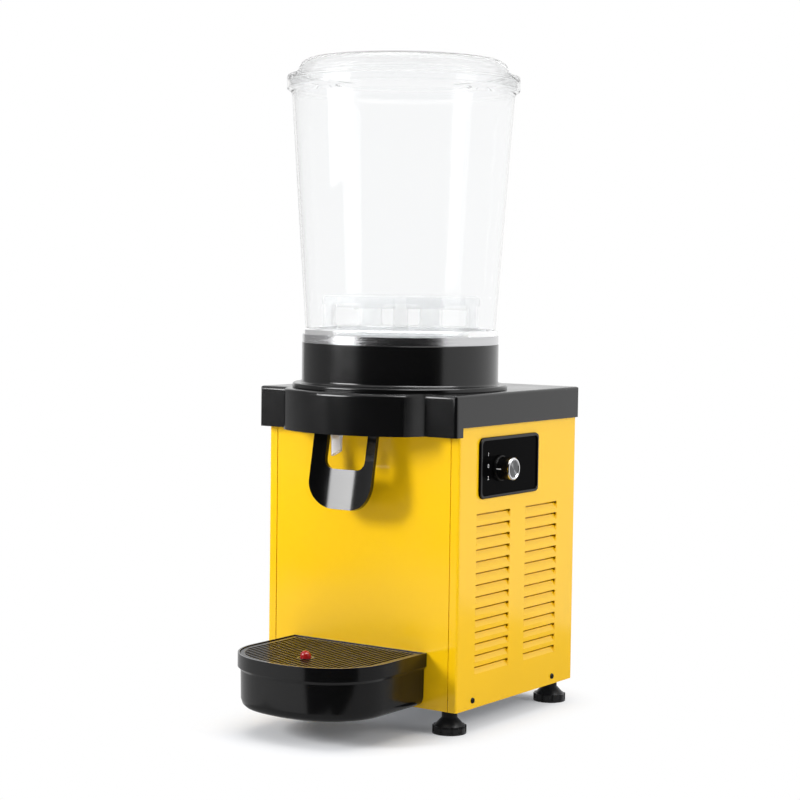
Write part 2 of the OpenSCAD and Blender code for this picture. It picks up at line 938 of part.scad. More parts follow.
module motor_bracket() {
    t = 2;
    arm = 42;
    foot_l = 14;
    wide = 30;
    color(steel) place() on_axis() difference() {
        union() {
            translate([-arm, -wide / 2, motor_top]) cube([2 * arm, wide, t]);
            for (s = [-1, 1]) {
                translate([s * (arm - t / 2), 0, (motor_top + panel_top) / 2]) {
                    cube([t, wide, panel_top - motor_top], center = true);
                }
                translate([s * (arm + foot_l / 2 - t), 0, panel_top - t / 2]) {
                    cube([foot_l, wide, t], center = true);
                }
            }
        }
        translate([0, 0, motor_top - 1]) cylinder(h = t + 2, r = boss_r + run_gap);
    }
}

// Tap: pipe, pinched hose, carrier, lever, pins and springs
bar_rise = 0.7;
bar_t = 3.8;
pinch_rise = 3;
pinch_play = 0.15;
hose_lap = 1;
pin_z = skirt_z + pin_rise;
bar_low = skirt_z + bar_rise;
bar_top = bar_low + bar_t;
pinch_z = skirt_z + pinch_rise;
pinch_half = hose_wall + pinch_play;
hose_top = outlet_z - bend_r - hose_lap;
hose_end = skirt_z - hose_show;
ear_x = 42;
ear_t = 4;
ear_r = 5.5;
carrier_margin = 6;
carrier_gap = 4;
carrier_x = ear_x + ear_t + carrier_margin;
carrier_t = 2.5;
carrier_z = cover_top - cover_wall - carrier_gap;

module outlet_pipe() {
    inner = pipe_r - pipe_wall;
    bend_y = -spout_y + bend_r;
    start_y = bowl_y - pot_r + 1;
    drop = 5;
    color(steel) place() difference() {
        union() {
            rod([0, start_y, outlet_z], [0, bend_y, outlet_z], pipe_r);
            along_x(bend_y, outlet_z - bend_r) rotate([0, 0, 90]) rotate_extrude(angle = 90) {
                translate([bend_r, 0]) circle(pipe_r);
            }
            rod([0, -spout_y, outlet_z - bend_r - drop], [0, -spout_y, outlet_z - bend_r], pipe_r);
        }
        rod([0, start_y + 1, outlet_z], [0, bend_y, outlet_z], inner);
        along_x(bend_y, outlet_z - bend_r) rotate([0, 0, 90]) rotate_extrude(angle = 90) {
            translate([bend_r, 0]) circle(inner);
        }
        rod([0, -spout_y, outlet_z - bend_r - drop - 1], [0, -spout_y, outlet_z - bend_r], inner);
    }
}

module hose_clip() {
    clip_h = 5;
    clip_t = 1;
    color(steel) place() translate([0, -spout_y, hose_top - clip_h]) {
        ring(hose_r + run_gap + clip_t, hose_r + run_gap, clip_h);
    }
}

// The hose is squeezed flat between the lever's bar and the carrier's anvil
module tap_hose() {
    squeeze = 8;
    flat_w = hose_r * 2.6;
    flat_h = 4.4;
    disc = 0.4;
    bore = pipe_r + run_gap;
    upper = pinch_z + squeeze;
    lower = pinch_z - squeeze;
    color([0.95, 0.95, 0.93, 0.85]) place() translate([0, -spout_y, 0]) difference() {
        union() {
            translate([0, 0, upper]) cylinder(h = hose_top - upper, r = hose_r);
            translate([0, 0, pinch_z]) cube([flat_w, 2 * pinch_half, flat_h], center = true);
            for (s = [-1, 1]) {
                hull() {
                    translate([0, 0, pinch_z + s * squeeze]) {
                        cylinder(h = 2 * disc, r = hose_r, center = true, $fn = 32);
                    }
                    translate([0, 0, pinch_z + s * (flat_h - disc) / 2]) {
                        cube([flat_w, 2 * pinch_half, disc], center = true);
                    }
                }
            }
            translate([0, 0, hose_end]) cylinder(h = lower - hose_end, r = hose_r);
        }
        translate([0, 0, upper]) cylinder(h = hose_top, r = bore);
        translate([0, 0, hose_end - 1]) cylinder(h = lower - hose_end, r = bore);
        translate([-2 * hose_r, 0, hose_end]) rotate([90, 0, 0]) linear_extrude(4 * hose_r, center = true) {
            polygon([[0, -2], [3 * hose_r, -2], [3 * hose_r, hose_slant * 0.9], [hose_r, 0], [0, 0]]);
        }
    }
}

module tap_carrier() {
    spread = 33;
    plate_h = 4;
    foam_gap = 4;
    out_r = nose_r - cover_wall - 1.5;
    anvil_x = 11;
    anvil_y = -spout_y - hose_r - 1.5;
    anvil_t = 3.5;
    plate_low = pin_z - 7;
    color("#2c2c30") place() difference() {
        union() {
            difference() {
                translate([0, nose_y, carrier_z]) rotate([0, 0, -90 - spread]) {
                    rotate_extrude(angle = 2 * spread) square([out_r, plate_h]);
                }
                on_axis(carrier_z - 1) cylinder(h = plate_h + 2, r = foam_r + foam_gap);
            }
            for (s = [-1, 1]) {
                translate([s * (carrier_x + carrier_t / 2), -pin_y, (plate_low + carrier_z + 2) / 2]) {
                    cube([carrier_t, 13, carrier_z + 2 - plate_low], center = true);
                }
            }
            box([-anvil_x, anvil_y - anvil_t, bar_low], [anvil_x, anvil_y, carrier_z + 2]);
            box([-anvil_x, anvil_y - anvil_t, pinch_z - 1.8],
                [anvil_x, -spout_y - pinch_half - 0.1, pinch_z + 1.8]);
        }
        pin_line(carrier_x + carrier_t, run_gap / 2);
    }
}

module pin_line(reach, gap) {
    for (s = [-1, 1]) {
        rod([s * (ear_x - 1.5), -pin_y, pin_z], [s * (reach + 1), -pin_y, pin_z], pin_r + gap);
    }
}

module lever_pins() {
    color(steel) place() pin_line(carrier_x + carrier_t, 0);
}

lever_lap = 1;
edge_back = 4.5;
lever_top = bar_top - lever_lap;
edge_y = -pin_y + edge_back;

// Hollow plate with two legs round a window, drawn with its top edge at the origin
module lever_plate() {
    tall = (lever_top - skirt_z + lever_drop) / cos(lever_lean);
    window = (lever_top - skirt_z + lever_window) / cos(lever_lean);
    inner = lever_half - lever_leg;
    window_r = 10;
    sag = lever_curve - sqrt(lever_curve * lever_curve - lever_half * lever_half);
    translate([0, edge_y, lever_top]) rotate([-lever_lean, 0, 0]) intersection() {
        translate([0, sag - lever_curve, -tall - 1]) ring(lever_curve + lever_t, lever_curve, tall + 2);
        translate([0, lever_curve, 0]) rotate([90, 0, 0]) linear_extrude(2 * lever_curve) difference() {
            union() {
                translate([-lever_half, -tall + lever_corner]) square([2 * lever_half, tall - lever_corner]);
                translate([-lever_half + lever_corner, -tall]) {
                    square([2 * (lever_half - lever_corner), tall]);
                }
                for (s = [-1, 1]) {
                    translate([s * (lever_half - lever_corner), -tall + lever_corner]) circle(lever_corner);
                }
            }
            translate([-inner, -window + window_r]) square([2 * inner, window]);
            translate([-inner + window_r, -window]) square([2 * (inner - window_r), window]);
            for (s = [-1, 1]) {
                translate([s * (inner - window_r), -window + window_r]) circle(window_r);
            }
        }
    }
}

module tap_lever() {
    bar_half = ear_x + ear_t;
    bar_depth = 15.5;
    bar_fore = 3;
    bar_back = -pin_y + bar_depth;
    pusher_half = hose_r * 1.6;
    pusher_rise = 0.5;
    pusher_play = 0.1;
    color(black) place() difference() {
        union() {
            lever_plate();
            box([-bar_half, -pin_y - bar_fore, bar_low], [bar_half, bar_back, bar_top]);
            box([-pusher_half, -spout_y + pinch_half + pusher_play, bar_low + pusher_rise],
                [pusher_half, -pin_y, bar_top]);
            for (s = [-1, 1]) {
                translate([s * ear_x - (s < 0 ? ear_t : 0), 0, 0]) {
                    along_x(-pin_y, pin_z) cylinder(h = ear_t, r = ear_r);
                    box([0, -pin_y - 3, bar_low], [ear_t, -pin_y + ear_r, pin_z]);
                }
            }
        }
        pin_line(carrier_x, run_gap);
    }
}

// Torsion springs on the pins: a coil, a leg on the carrier and a leg behind the lever's ear
module lever_springs() {
    wire = 0.6;
    turns = 4;
    start = ear_x + ear_t + 0.6;
    coil = pin_r + wire + 0.2;
    leg_x = start + wire + 0.2;
    leg_y = -pin_y + ear_r + wire - 0.05;
    leg_drop = 9;
    color(steel) place() for (s = [-1, 1]) {
        mirror([s < 0 ? 1 : 0, 0, 0]) {
            translate([start + wire, 0, 0]) along_x(-pin_y, pin_z) rotate_extrude() {
                for (k = [0 : turns - 1]) {
                    translate([coil, k * (2 * wire - 0.1)]) circle(wire);
                }
            }
            bent_rod([
                [leg_x, -pin_y + coil, pin_z + 0.3],
                [leg_x, -pin_y + coil, pin_z - leg_drop],
                [leg_x, leg_y, pin_z - leg_drop],
                [ear_x + 1, leg_y, pin_z - leg_drop]
            ], wire - 0.1);
            rod([start + 3 * wire, -pin_y - coil, pin_z - 0.3],
                [start + 3 * wire, -pin_y - coil, carrier_z], wire - 0.1);
        }
    }
}

// Drip tray, grid, float and the prongs that carry the tray
tray_z = foot_h + tray_top;
tray_low = tray_z - tray_h;
tray_back = slip_gap;
tray_floor = tray_low + 4;
ledge_z = tray_z - grid_t - 1;

// Plan of the tray: straight sides, two corner arcs and a wide front arc, all inset alike
module tray_plan(inset, back = tray_back) {
    r = tray_front_r - inset;
    corner = tray_corner_r - inset;
    front_y = tray_front_r - tray_reach;
    corner_x = tray_w / 2 - tray_corner_r;
    corner_y = front_y - sqrt(pow(tray_front_r - tray_corner_r, 2) - corner_x * corner_x);
    far = 3 * tray_front_r;
    lean = [corner_x, corner_y - front_y] / norm([corner_x, corner_y - front_y]);
    intersection() {
        union() {
            translate([-tray_w / 2 + inset, corner_y]) square([tray_w - 2 * inset, tray_reach]);
            for (s = [-1, 1]) {
                translate([s * corner_x, corner_y]) circle(corner);
            }
            intersection() {
                translate([0, front_y]) circle(r);
                polygon([
                    [0, front_y],
                    [-far * lean[0], front_y + far * lean[1]],
                    [far * lean[0], front_y + far * lean[1]]
                ]);
            }
        }
        translate([-tray_w, -2 * tray_reach]) square([2 * tray_w, 2 * tray_reach - back]);
    }
}

module tray_slice(z, inset, back = tray_back) {
    translate([0, 0, z]) linear_extrude(0.1) tray_plan(inset, back);
}

module drip_tray() {
    tunnel = 1.6;
    tunnel_l = prong_l + 4;
    body_top = tray_z - tray_rim - 3;
    inner = tray_step + tray_wall;
    floor_edge = 3;
    color(black) place() difference() {
        union() {
            difference() {
                union() {
                    translate([0, 0, tray_z - tray_rim]) linear_extrude(tray_rim) tray_plan(0);
                    hull() {
                        tray_slice(body_top, tray_step);
                        tray_slice(tray_z - tray_rim, 0.5);
                    }
                    hull() {
                        tray_slice(tray_low, tray_step + 8);
                        tray_slice(tray_low + 1.2, tray_step + 5);
                        tray_slice(tray_low + 4, tray_step + 2);
                        tray_slice(tray_low + 9, tray_step + 0.5);
                        tray_slice(body_top, tray_step);
                    }
                }
                hull() {
                    tray_slice(tray_floor, inner + floor_edge, tray_back + tray_wall);
                    tray_slice(tray_floor + floor_edge, inner, tray_back + tray_wall);
                    tray_slice(ledge_z, inner, tray_back + tray_wall);
                }
                translate([0, 0, ledge_z]) linear_extrude(tray_h) tray_plan(tray_wall, tray_back + tray_wall);
            }
            for (s = [-1, 1]) {
                translate([s * prong_x, -tray_back - (tunnel_l + tunnel) / 2, prong_z]) {
                    cube([prong_w + 2 * tunnel, tunnel_l + tunnel, prong_t + 2 * tunnel], center = true);
                }
            }
        }
        for (s = [-1, 1]) {
            translate([s * prong_x, -tunnel_l / 2 + 1, prong_z]) {
                cube([prong_w + 2 * slip_gap, tunnel_l + 2, prong_t + 2 * slip_gap], center = true);
            }
        }
    }
}

module drip_grid() {
    edge = tray_wall + slip_gap;
    frame = edge + 5;
    slots = floor((tray_w / 2 - frame) / slot_pitch);
    back = tray_back + edge;
    color("#232326") place() translate([0, 0, ledge_z + slip_gap / 4]) linear_extrude(grid_t) difference() {
        tray_plan(edge, back);
        difference() {
            intersection() {
                tray_plan(frame, back + 5);
                for (k = [-slots : slots]) {
                    translate([k * slot_pitch - slot_w / 2, -tray_reach]) square([slot_w, tray_reach]);
                }
            }
            translate([0, -float_y]) circle(float_r + 3);
        }
        translate([0, -float_y]) circle(float_r + slip_gap);
    }
}

module level_float() {
    disc_r = 16;
    disc_h = 9;
    low = tray_floor + slip_gap;
    cap_z = tray_z - 3;
    color("firebrick") place() translate([0, -float_y, low]) rotate_extrude() {
        square([disc_r, disc_h]);
        square([float_r / 2, cap_z - low]);
        translate([0, cap_z - low]) square([float_r, 4]);
        intersection() {
            translate([0, cap_z - low + 4]) circle(float_r);
            translate([0, cap_z - low]) square(2 * float_r);
        }
    }
}

module tray_prongs() {
    back_t = 2;
    bar_h = 12;
    color(steel) place() {
        for (s = [-1, 1]) {
            translate([s * prong_x, (sheet_t - prong_l) / 2, prong_z]) {
                cube([prong_w, prong_l + sheet_t + back_t, prong_t], center = true);
            }
        }
        box([-prong_x - prong_w, sheet_t, prong_z - bar_h / 2],
            [prong_x + prong_w, sheet_t + back_t, prong_z + bar_h / 2]);
    }
}

// Control panel with a rotary switch
panel_z = panel_top - panel_drop;
knob_z = panel_z - knob_drop;
panel_lap = 4;
bush_r = 5;

// Outline of the control panel, drawn smaller all round
module panel_outline(inset) {
    rounded_rect(panel_l - 2 * inset, panel_h - 2 * inset, max(panel_corner - inset, 2));
}

module control_panel() {
    lining = 10;
    color(black) place() difference() {
        union() {
            translate([half_w, 0, 0]) along_x(panel_y, panel_z) {
                soft_block(panel_l, panel_h, panel_proud, panel_corner, panel_proud * 0.7);
            }
            translate([half_w - lining, 0, 0]) along_x(panel_y, panel_z) {
                linear_extrude(lining + 0.5) panel_outline(panel_lap);
            }
        }
        translate([half_w + panel_face, 0, 0]) along_x(panel_y, panel_z) {
            linear_extrude(panel_proud) panel_outline(0.8 * panel_lap);
        }
        translate([half_w - lining - 1, 0, 0]) along_x(panel_y, panel_z) {
            linear_extrude(lining) panel_outline(1.7 * panel_lap);
        }
        translate([half_w - lining, 0, 0]) along_x(knob_y, knob_z) {
            cylinder(h = 3 * lining, r = bush_r + slip_gap / 4);
        }
    }
}

switch_x = half_w - 1;

module rotary_switch() {
    side = 28;
    deep = 24;
    color("#4a4a50") place() difference() {
        union() {
            translate([switch_x - deep, 0, 0]) along_x(knob_y, knob_z) {
                linear_extrude(deep) rounded_rect(side, side, 3);
            }
            translate([switch_x, 0, 0]) along_x(knob_y, knob_z) cylinder(h = panel_face + 1, r = bush_r);
        }
        translate([switch_x - deep / 2, 0, 0]) along_x(knob_y, knob_z) {
            cylinder(h = deep, r = shaft_r + run_gap);
        }
    }
}

module switch_shaft() {
    color(steel) place() translate([switch_x - 8, 0, 0]) along_x(knob_y, knob_z) {
        cylinder(h = knob_tip - 6 - switch_x + 8, r = shaft_r);
    }
}

knob_x = half_w + panel_face + slip_gap;
cap_t = 2;

module control_knob() {
    skirt_h = 3;
    color(black) place() translate([knob_x, 0, 0]) along_x(knob_y, knob_z) difference() {
        union() {
            cylinder(h = skirt_h, r1 = knob_skirt_r, r2 = knob_skirt_r - 0.6);
            cylinder(h = knob_h - cap_t, r1 = knob_r + 0.6, r2 = knob_r);
        }
        translate([0, 0, -1]) cylinder(h = knob_h - 6 + 1, r = shaft_r);
    }
}

module knob_cap() {
    color(steel) place() translate([knob_x + knob_h - cap_t, 0, 0]) along_x(knob_y, knob_z) difference() {
        cylinder(h = cap_t, r1 = knob_r, r2 = knob_r - 0.8);
        translate([0, 0, cap_t - 0.5]) cylinder(h = 1, r = knob_r - 3.4);
    }
}

// Cooling set
module compressor_places(r) {
    for (sx = [-1, 1], sy = [-1, 1]) {
        translate([compressor_x + sx * r, compressor_y + sy * r, base_top]) children();
    }
}

module compressor() {
    e = compressor_edge;
    side = 2 * (mount_at + mount_r);
    color("#2a2a2c") place() difference() {
        union() {
            translate([compressor_x, compressor_y, compressor_z]) rotate_extrude() {
                square([compressor_r - e, compressor_h]);
                translate([0, e]) square([compressor_r, compressor_h - 2 * e]);
                for (z = [e, compressor_h - e]) {
                    translate([compressor_r - e, z]) circle(e);
                }
            }
            translate([compressor_x, compressor_y, compressor_z - bracket_t]) {
                linear_extrude(bracket_t) rounded_rect(side, side, mount_r);
            }
            translate([compressor_x, compressor_y, compressor_z - bracket_t]) {
                cylinder(h = e, r = compressor_r - e + 4);
            }
        }
        compressor_places(mount_at) cylinder(h = mount_h + 2 * bracket_t, r = 4 + slip_gap / 4);
    }
}

module compressor_mounts() {
    color("#3b3b3b") place() compressor_places(mount_at) {
        cylinder(h = mount_h, r = mount_r);
        cylinder(h = mount_h + bracket_t + 2, r = 4);
    }
}

module start_relay() {
    wide = 40;
    deep = 22;
    tall = 46;
    color("#55565a") place() difference() {
        translate([compressor_x - wide / 2, compressor_y + compressor_r - 8, compressor_z + 34]) {
            cube([wide, deep, tall]);
        }
        translate([compressor_x, compressor_y, compressor_z]) {
            cylinder(h = compressor_h, r = compressor_r + run_gap);
        }
    }
}

condenser_gap = 9;
condenser_x = inner_half - condenser_gap - condenser_t;
condenser_y = (cabinet_d - condenser_l) / 2;
condenser_end = 1.5;
fan_y = condenser_y + condenser_l / 2;
fan_z = base_top + condenser_h / 2;
tube_rows = 5;
tube_gap = 26;
tube_r = 4;

function tube_z(i) = fan_z + (i - (tube_rows - 1) / 2) * tube_gap;

module condenser() {
    fin_t = 0.8;
    mid = condenser_x + condenser_t / 2;
    color("silver") place() {
        for (y = [condenser_y, condenser_y + condenser_l - condenser_end]) {
            box([condenser_x, y, base_top],
                [condenser_x + condenser_t, y + condenser_end, base_top + condenser_h]);
        }
        for (k = [1 : condenser_fins]) {
            y = condenser_y + k * condenser_l / (condenser_fins + 1) - fin_t / 2;
            translate([condenser_x, y, base_top + 4]) cube([condenser_t, fin_t, condenser_h - 8]);
        }
        for (i = [0 : tube_rows - 1]) {
            rod([mid, condenser_y - 2, tube_z(i)], [mid, condenser_y + condenser_l + 2, tube_z(i)], tube_r);
        }
        for (i = [0 : tube_rows - 2]) {
            rear = i % 2 == 1;
            y = rear ? condenser_y + condenser_l + 2 : condenser_y - 2;
            translate([mid, y, tube_z(i) + tube_gap / 2]) rotate([0, 90, 0]) rotate([0, 0, rear ? 0 : 180]) {
                rotate_extrude(angle = 180) translate([tube_gap / 2, 0]) circle(tube_r);
            }
        }
    }
}

shroud_t = 3;
arm_gap = 34;
arm_x = condenser_x - arm_gap;

module fan_shroud() {
    lip = 2;
    post_r = 3;
    post_at = fan_r + 9;
    motor_ring = fan_motor_r + 3;
    color("#37373a") place() {
        difference() {
            box([condenser_x - shroud_t, condenser_y, base_top],
                [condenser_x, condenser_y + condenser_l, base_top + condenser_h]);
            translate([condenser_x - 2 * shroud_t, 0, 0]) along_x(fan_y, fan_z) {
                cylinder(h = 4 * shroud_t, r = fan_r + 4);
            }
        }
        translate([condenser_x - 10, 0, 0]) along_x(fan_y, fan_z) ring(fan_r + 4 + lip, fan_r + 4, 9);
        translate([arm_x, 0, 0]) along_x(fan_y, fan_z) {
            ring(motor_ring, fan_motor_r + run_gap, 4);
            for (k = [0 : 3]) {
                rotate([0, 0, 45 + 90 * k]) {
                    translate([motor_ring - 1, -3, 0]) cube([post_at - motor_ring + 1, 6, 4]);
                    translate([post_at, 0, 0]) cylinder(h = condenser_x - shroud_t / 2 - arm_x, r = post_r);
                }
            }
        }
    }
}

fan_motor_r = 23;
fan_x = arm_x + 10;
fan_h = 16;

module fan_motor() {
    long = 34;
    color("#6a6a6e") place() translate([arm_x + 7 - long, 0, 0]) along_x(fan_y, fan_z) difference() {
        cylinder(h = long, r = fan_motor_r);
        translate([0, 0, long / 2]) cylinder(h = long, r = shaft_r + run_gap);
    }
}

module fan() {
    hub = 14;
    stub_l = 20;
    pitch_angle = 32;
    blade_t = 1.6;
    color("#d8d8d8") place() translate([fan_x, 0, 0]) along_x(fan_y, fan_z) {
        cylinder(h = fan_h, r = hub);
        translate([0, 0, fan_h / 4 - stub_l]) cylinder(h = stub_l, r = shaft_r);
        intersection() {
            ring(fan_r, hub - 1, fan_h);
            for (k = [0 : fan_blades - 1]) {
                rotate([0, 0, k * 360 / fan_blades]) translate([0, 0, fan_h / 2]) {
                    rotate([pitch_angle, 0, 0]) translate([hub / 2, -fan_r / 2, -blade_t / 2]) {
                        cube([fan_r, fan_r, blade_t]);
                    }
                }
            }
        }
    }
}

// Refrigerant lines
drier_rise = 34;
drier_z = base_top + drier_rise;
drier_h = 90;
line_rise = 22;
line_side = 18;
suction_rise = 35;
line_in = coil_point(line_at);
drier_rear = 27;
drier_at = [line_in[0], cabinet_d - drier_rear];
line_out = coil_point(-line_at);
coil_foot = coil_z - coil_tube_r;

module filter_drier() {
    r = 10;
    x = drier_at[0];
    y = drier_at[1];
    mid = condenser_x + condenser_t / 2;
    end_y = condenser_y + condenser_l + 2;
    line_drop = 13;
    low = tube_z(0) - line_drop;
    color("peru") place() {
        translate([x, y, drier_z]) rotate_extrude() polygon([
            [0, 0], [line_r + 1, 0], [r, 10], [r, drier_h - 10], [line_r + 1, drier_h], [0, drier_h]
        ]);
        bent_rod([
            [mid, end_y, tube_z(0)],
            [mid, y, tube_z(0)],
            [mid, y, low],
            [x, y, low],
            [x, y, drier_z + 1]
        ], line_r);
    }
}

module capillary_line() {
    x = drier_at[0];
    y = drier_at[1];
    bend_drop = 40;
    bend_z = coil_foot - bend_drop;
    color("peru") place() bent_rod([
        [x, y, drier_z + drier_h],
        [x, y, bend_z],
        [x, line_in[1], bend_z],
        [x, line_in[1], coil_foot]
    ], line_r - 1);
}

module discharge_line() {
    top = compressor_z + compressor_h;
    x = compressor_x + line_side;
    mid = condenser_x + condenser_t / 2;
    y = condenser_y - 14;
    color("peru") place() bent_rod([
        [x, compressor_y, top],
        [x, compressor_y, top + line_rise],
        [x, y, top + line_rise],
        [mid, y, top + line_rise],
        [mid, y, tube_z(tube_rows - 1)],
        [mid, condenser_y - 2, tube_z(tube_rows - 1)]
    ], line_r);
}

module suction_line() {
    top = compressor_z + compressor_h;
    y = compressor_y + line_rise;
    neck_z = deck_top + foam_under / 2;
    color("peru") place() {
        rod([line_out[0], line_out[1], neck_z - 1], [line_out[0], line_out[1], coil_foot], coil_tube_r);
        bent_rod([
            [line_out[0], line_out[1], neck_z],
            [line_out[0], line_out[1], top + suction_rise],
            [line_out[0], y, top + suction_rise],
            [line_out[0], y, top]
        ], line_r);
    }
}

module thermostat() {
    size = [34, 30, 24];
    side_gap = 26;
    rear_gap = 56;
    at = [-half_w + side_gap, cabinet_d - rear_gap, panel_top - size[2]];
    color("#77787c") place() translate(at) cube(size);
}

// Gland for the mains lead
module cable_gland() {
    bore = 4;
    inside = 12;
    color(black) place() translate([gland_at[0], cabinet_d, gland_at[1]]) rotate([-90, 0, 0]) difference() {
        union() {
            cylinder(h = gland_out, r1 = gland_r + 3, r2 = gland_r);
            translate([0, 0, -inside]) cylinder(h = inside + 1, r = gland_r);
            translate([0, 0, -inside]) cylinder(h = inside - sheet_t, r = gland_r + 3, $fn = 6);
        }
        translate([0, 0, -inside - 1]) cylinder(h = inside + gland_out + 2, r = bore);
    }
}

base_plate();
front_panel();
right_side_panel();
left_side_panel();
rear_panel();
deck_plate();
top_cover();
collar();
evaporator_pot();
evaporator_coil();
foam_insulation();
bowl_gasket();
bowl();
lid();
mixer_drum();
drum_magnet();
mixer_spindle();
drive_magnet();
motor_shaft();
mixer_motor();
motor_bracket();
outlet_pipe();
hose_clip();
tap_hose();
tap_carrier();
tap_lever();
lever_pins();
lever_springs();
drip_tray();
drip_grid();
level_float();
tray_prongs();
control_panel();
rotary_switch();
switch_shaft();
control_knob();
knob_cap();
compressor();
compressor_mounts();
start_relay();
condenser();
fan_shroud();
fan_motor();
fan();
filter_drier();
capillary_line();
discharge_line();
suction_line();
thermostat();
front_right_foot();
front_left_foot();
rear_right_foot();
rear_left_foot();
foot_nuts();
cable_gland();
panel_screws();
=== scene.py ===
# %% [markdown]
# # A cold drink dispenser
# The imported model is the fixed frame: every solid is already at its real size and place. This lesson
# dresses it. It sets the camera and a white studio, makes the finishes as shader nodes, and models
# again the pieces whose edges and curves carry the light.

# %% Load the frame
import json
import math

import bpy
from mathutils import Matrix, Vector

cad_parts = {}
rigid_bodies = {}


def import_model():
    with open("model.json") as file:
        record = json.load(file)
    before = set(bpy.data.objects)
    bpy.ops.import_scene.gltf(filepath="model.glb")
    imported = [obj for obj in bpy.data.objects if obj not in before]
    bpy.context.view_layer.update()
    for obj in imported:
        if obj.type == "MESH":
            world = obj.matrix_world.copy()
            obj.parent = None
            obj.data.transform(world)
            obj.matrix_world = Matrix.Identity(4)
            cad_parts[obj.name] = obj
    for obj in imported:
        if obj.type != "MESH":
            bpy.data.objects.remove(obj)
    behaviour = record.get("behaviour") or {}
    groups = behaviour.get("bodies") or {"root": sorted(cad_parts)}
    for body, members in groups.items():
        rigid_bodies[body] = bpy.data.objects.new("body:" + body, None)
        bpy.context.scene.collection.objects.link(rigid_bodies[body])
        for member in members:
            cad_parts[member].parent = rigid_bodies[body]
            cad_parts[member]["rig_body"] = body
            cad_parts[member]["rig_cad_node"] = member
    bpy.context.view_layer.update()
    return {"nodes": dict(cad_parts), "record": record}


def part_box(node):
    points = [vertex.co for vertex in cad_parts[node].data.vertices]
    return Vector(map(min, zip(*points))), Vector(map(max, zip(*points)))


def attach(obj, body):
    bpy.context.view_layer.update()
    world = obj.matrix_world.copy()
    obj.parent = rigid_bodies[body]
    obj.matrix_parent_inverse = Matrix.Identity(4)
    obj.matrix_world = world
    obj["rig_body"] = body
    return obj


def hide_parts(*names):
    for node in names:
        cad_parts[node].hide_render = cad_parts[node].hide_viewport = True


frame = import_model()
nodes = frame["nodes"]
body_of_node = {n: body for body, names in frame["record"]["behaviour"]["bodies"].items() for n in names}
MM = 0.001

# %% [markdown]
# Places on the object are easiest to give in the cabinet's own terms: how far to the right of its
# middle, how far behind the front panel and how far above the floor, in millimetres. The front panel
# says where that origin lies in the frame, and the bowl says where the upright axis is.

# %% Cabinet's own places
panel_low, panel_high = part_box("front_panel")
cabinet_origin = Vector(((panel_low.x + panel_high.x) / 2, panel_low.y, 0))


def at(x, y, z):
    """A point of the cabinet, in millimetres, as a place in the frame."""
    return cabinet_origin + Vector((x, y, z)) * MM


def middle(node):
    """The centre of a node's box."""
    low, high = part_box(node)
    return (low + high) / 2


bowl_axis = Vector((middle("bowl").x, middle("bowl").y, 0))
print("cabinet origin:", tuple(round(v, 4) for v in cabinet_origin))

# %% [markdown]
# The camera stands to the right of the front, a little above the middle, and far away: the long lens
# keeps the upright edges almost parallel, as they are in a product picture.

# %% Camera
IMAGE_SIDE = 800
FOCAL_PIXELS = 2011.7
SENSOR = 36
CAMERA_PLACE = (1199.7, -1676.2, 462.7)
CAMERA_YAW = 34.52
CAMERA_PITCH = 3.54
CAMERA_ROLL = 0.77

bpy.ops.object.camera_add()
camera = bpy.context.object
camera.name = "studio_camera"
camera.data.sensor_width = SENSOR
camera.data.lens = SENSOR * FOCAL_PIXELS / IMAGE_SIDE
turn = Matrix.Rotation(math.radians(CAMERA_YAW), 4, "Z")
tilt = Matrix.Rotation(math.radians(90 - CAMERA_PITCH), 4, "X")
roll = Matrix.Rotation(math.radians(CAMERA_ROLL), 4, "Z")
camera.matrix_world = Matrix.Translation(at(*CAMERA_PLACE)) @ turn @ tilt @ roll
bpy.context.scene.camera = camera
bpy.context.scene.view_settings.view_transform = "Standard"
print("lens:", round(camera.data.lens, 2), "mm")

# %% [markdown]
# Small helpers build node trees. A tree is easier to read when each node is made, set and wired in
# one line, so add_node takes the values of its sockets by name.


# %% Node helpers
def add_node(tree, kind, inputs=None, **settings):
    """Adds a shader node, sets its properties, and sets or links its inputs by name or number."""
    node = tree.nodes.new(kind)
    for name, value in settings.items():
        setattr(node, name, value)
    for name, value in (inputs or {}).items():
        if isinstance(value, bpy.types.NodeSocket):
            tree.links.new(value, node.inputs[name])
        else:
            node.inputs[name].default_value = value
    return node


def new_group(name, inputs, outputs):
    """Starts a shader group. Inputs are (name, type, default), outputs are (name, type)."""
    tree = bpy.data.node_groups.new(name, "ShaderNodeTree")
    for label, kind, default in inputs:
        socket = tree.interface.new_socket(label, in_out="INPUT", socket_type=kind)
        if default is not None:
            socket.default_value = default
    for label, kind in outputs:
        tree.interface.new_socket(label, in_out="OUTPUT", socket_type=kind)
    return tree, tree.nodes.new("NodeGroupInput"), tree.nodes.new("NodeGroupOutput")


FLOAT, VECTOR = "NodeSocketFloat", "NodeSocketVector"
WHITE = (1, 1, 1, 1)

# %% [markdown]
# The studio is white all round. The world is pure white where the camera, a mirror or clear plastic
# sees it, and softer where it only lights.

# %% World
WORLD_FILL = 0.42
FILL_TINT = (0.97, 0.98, 1, 1)

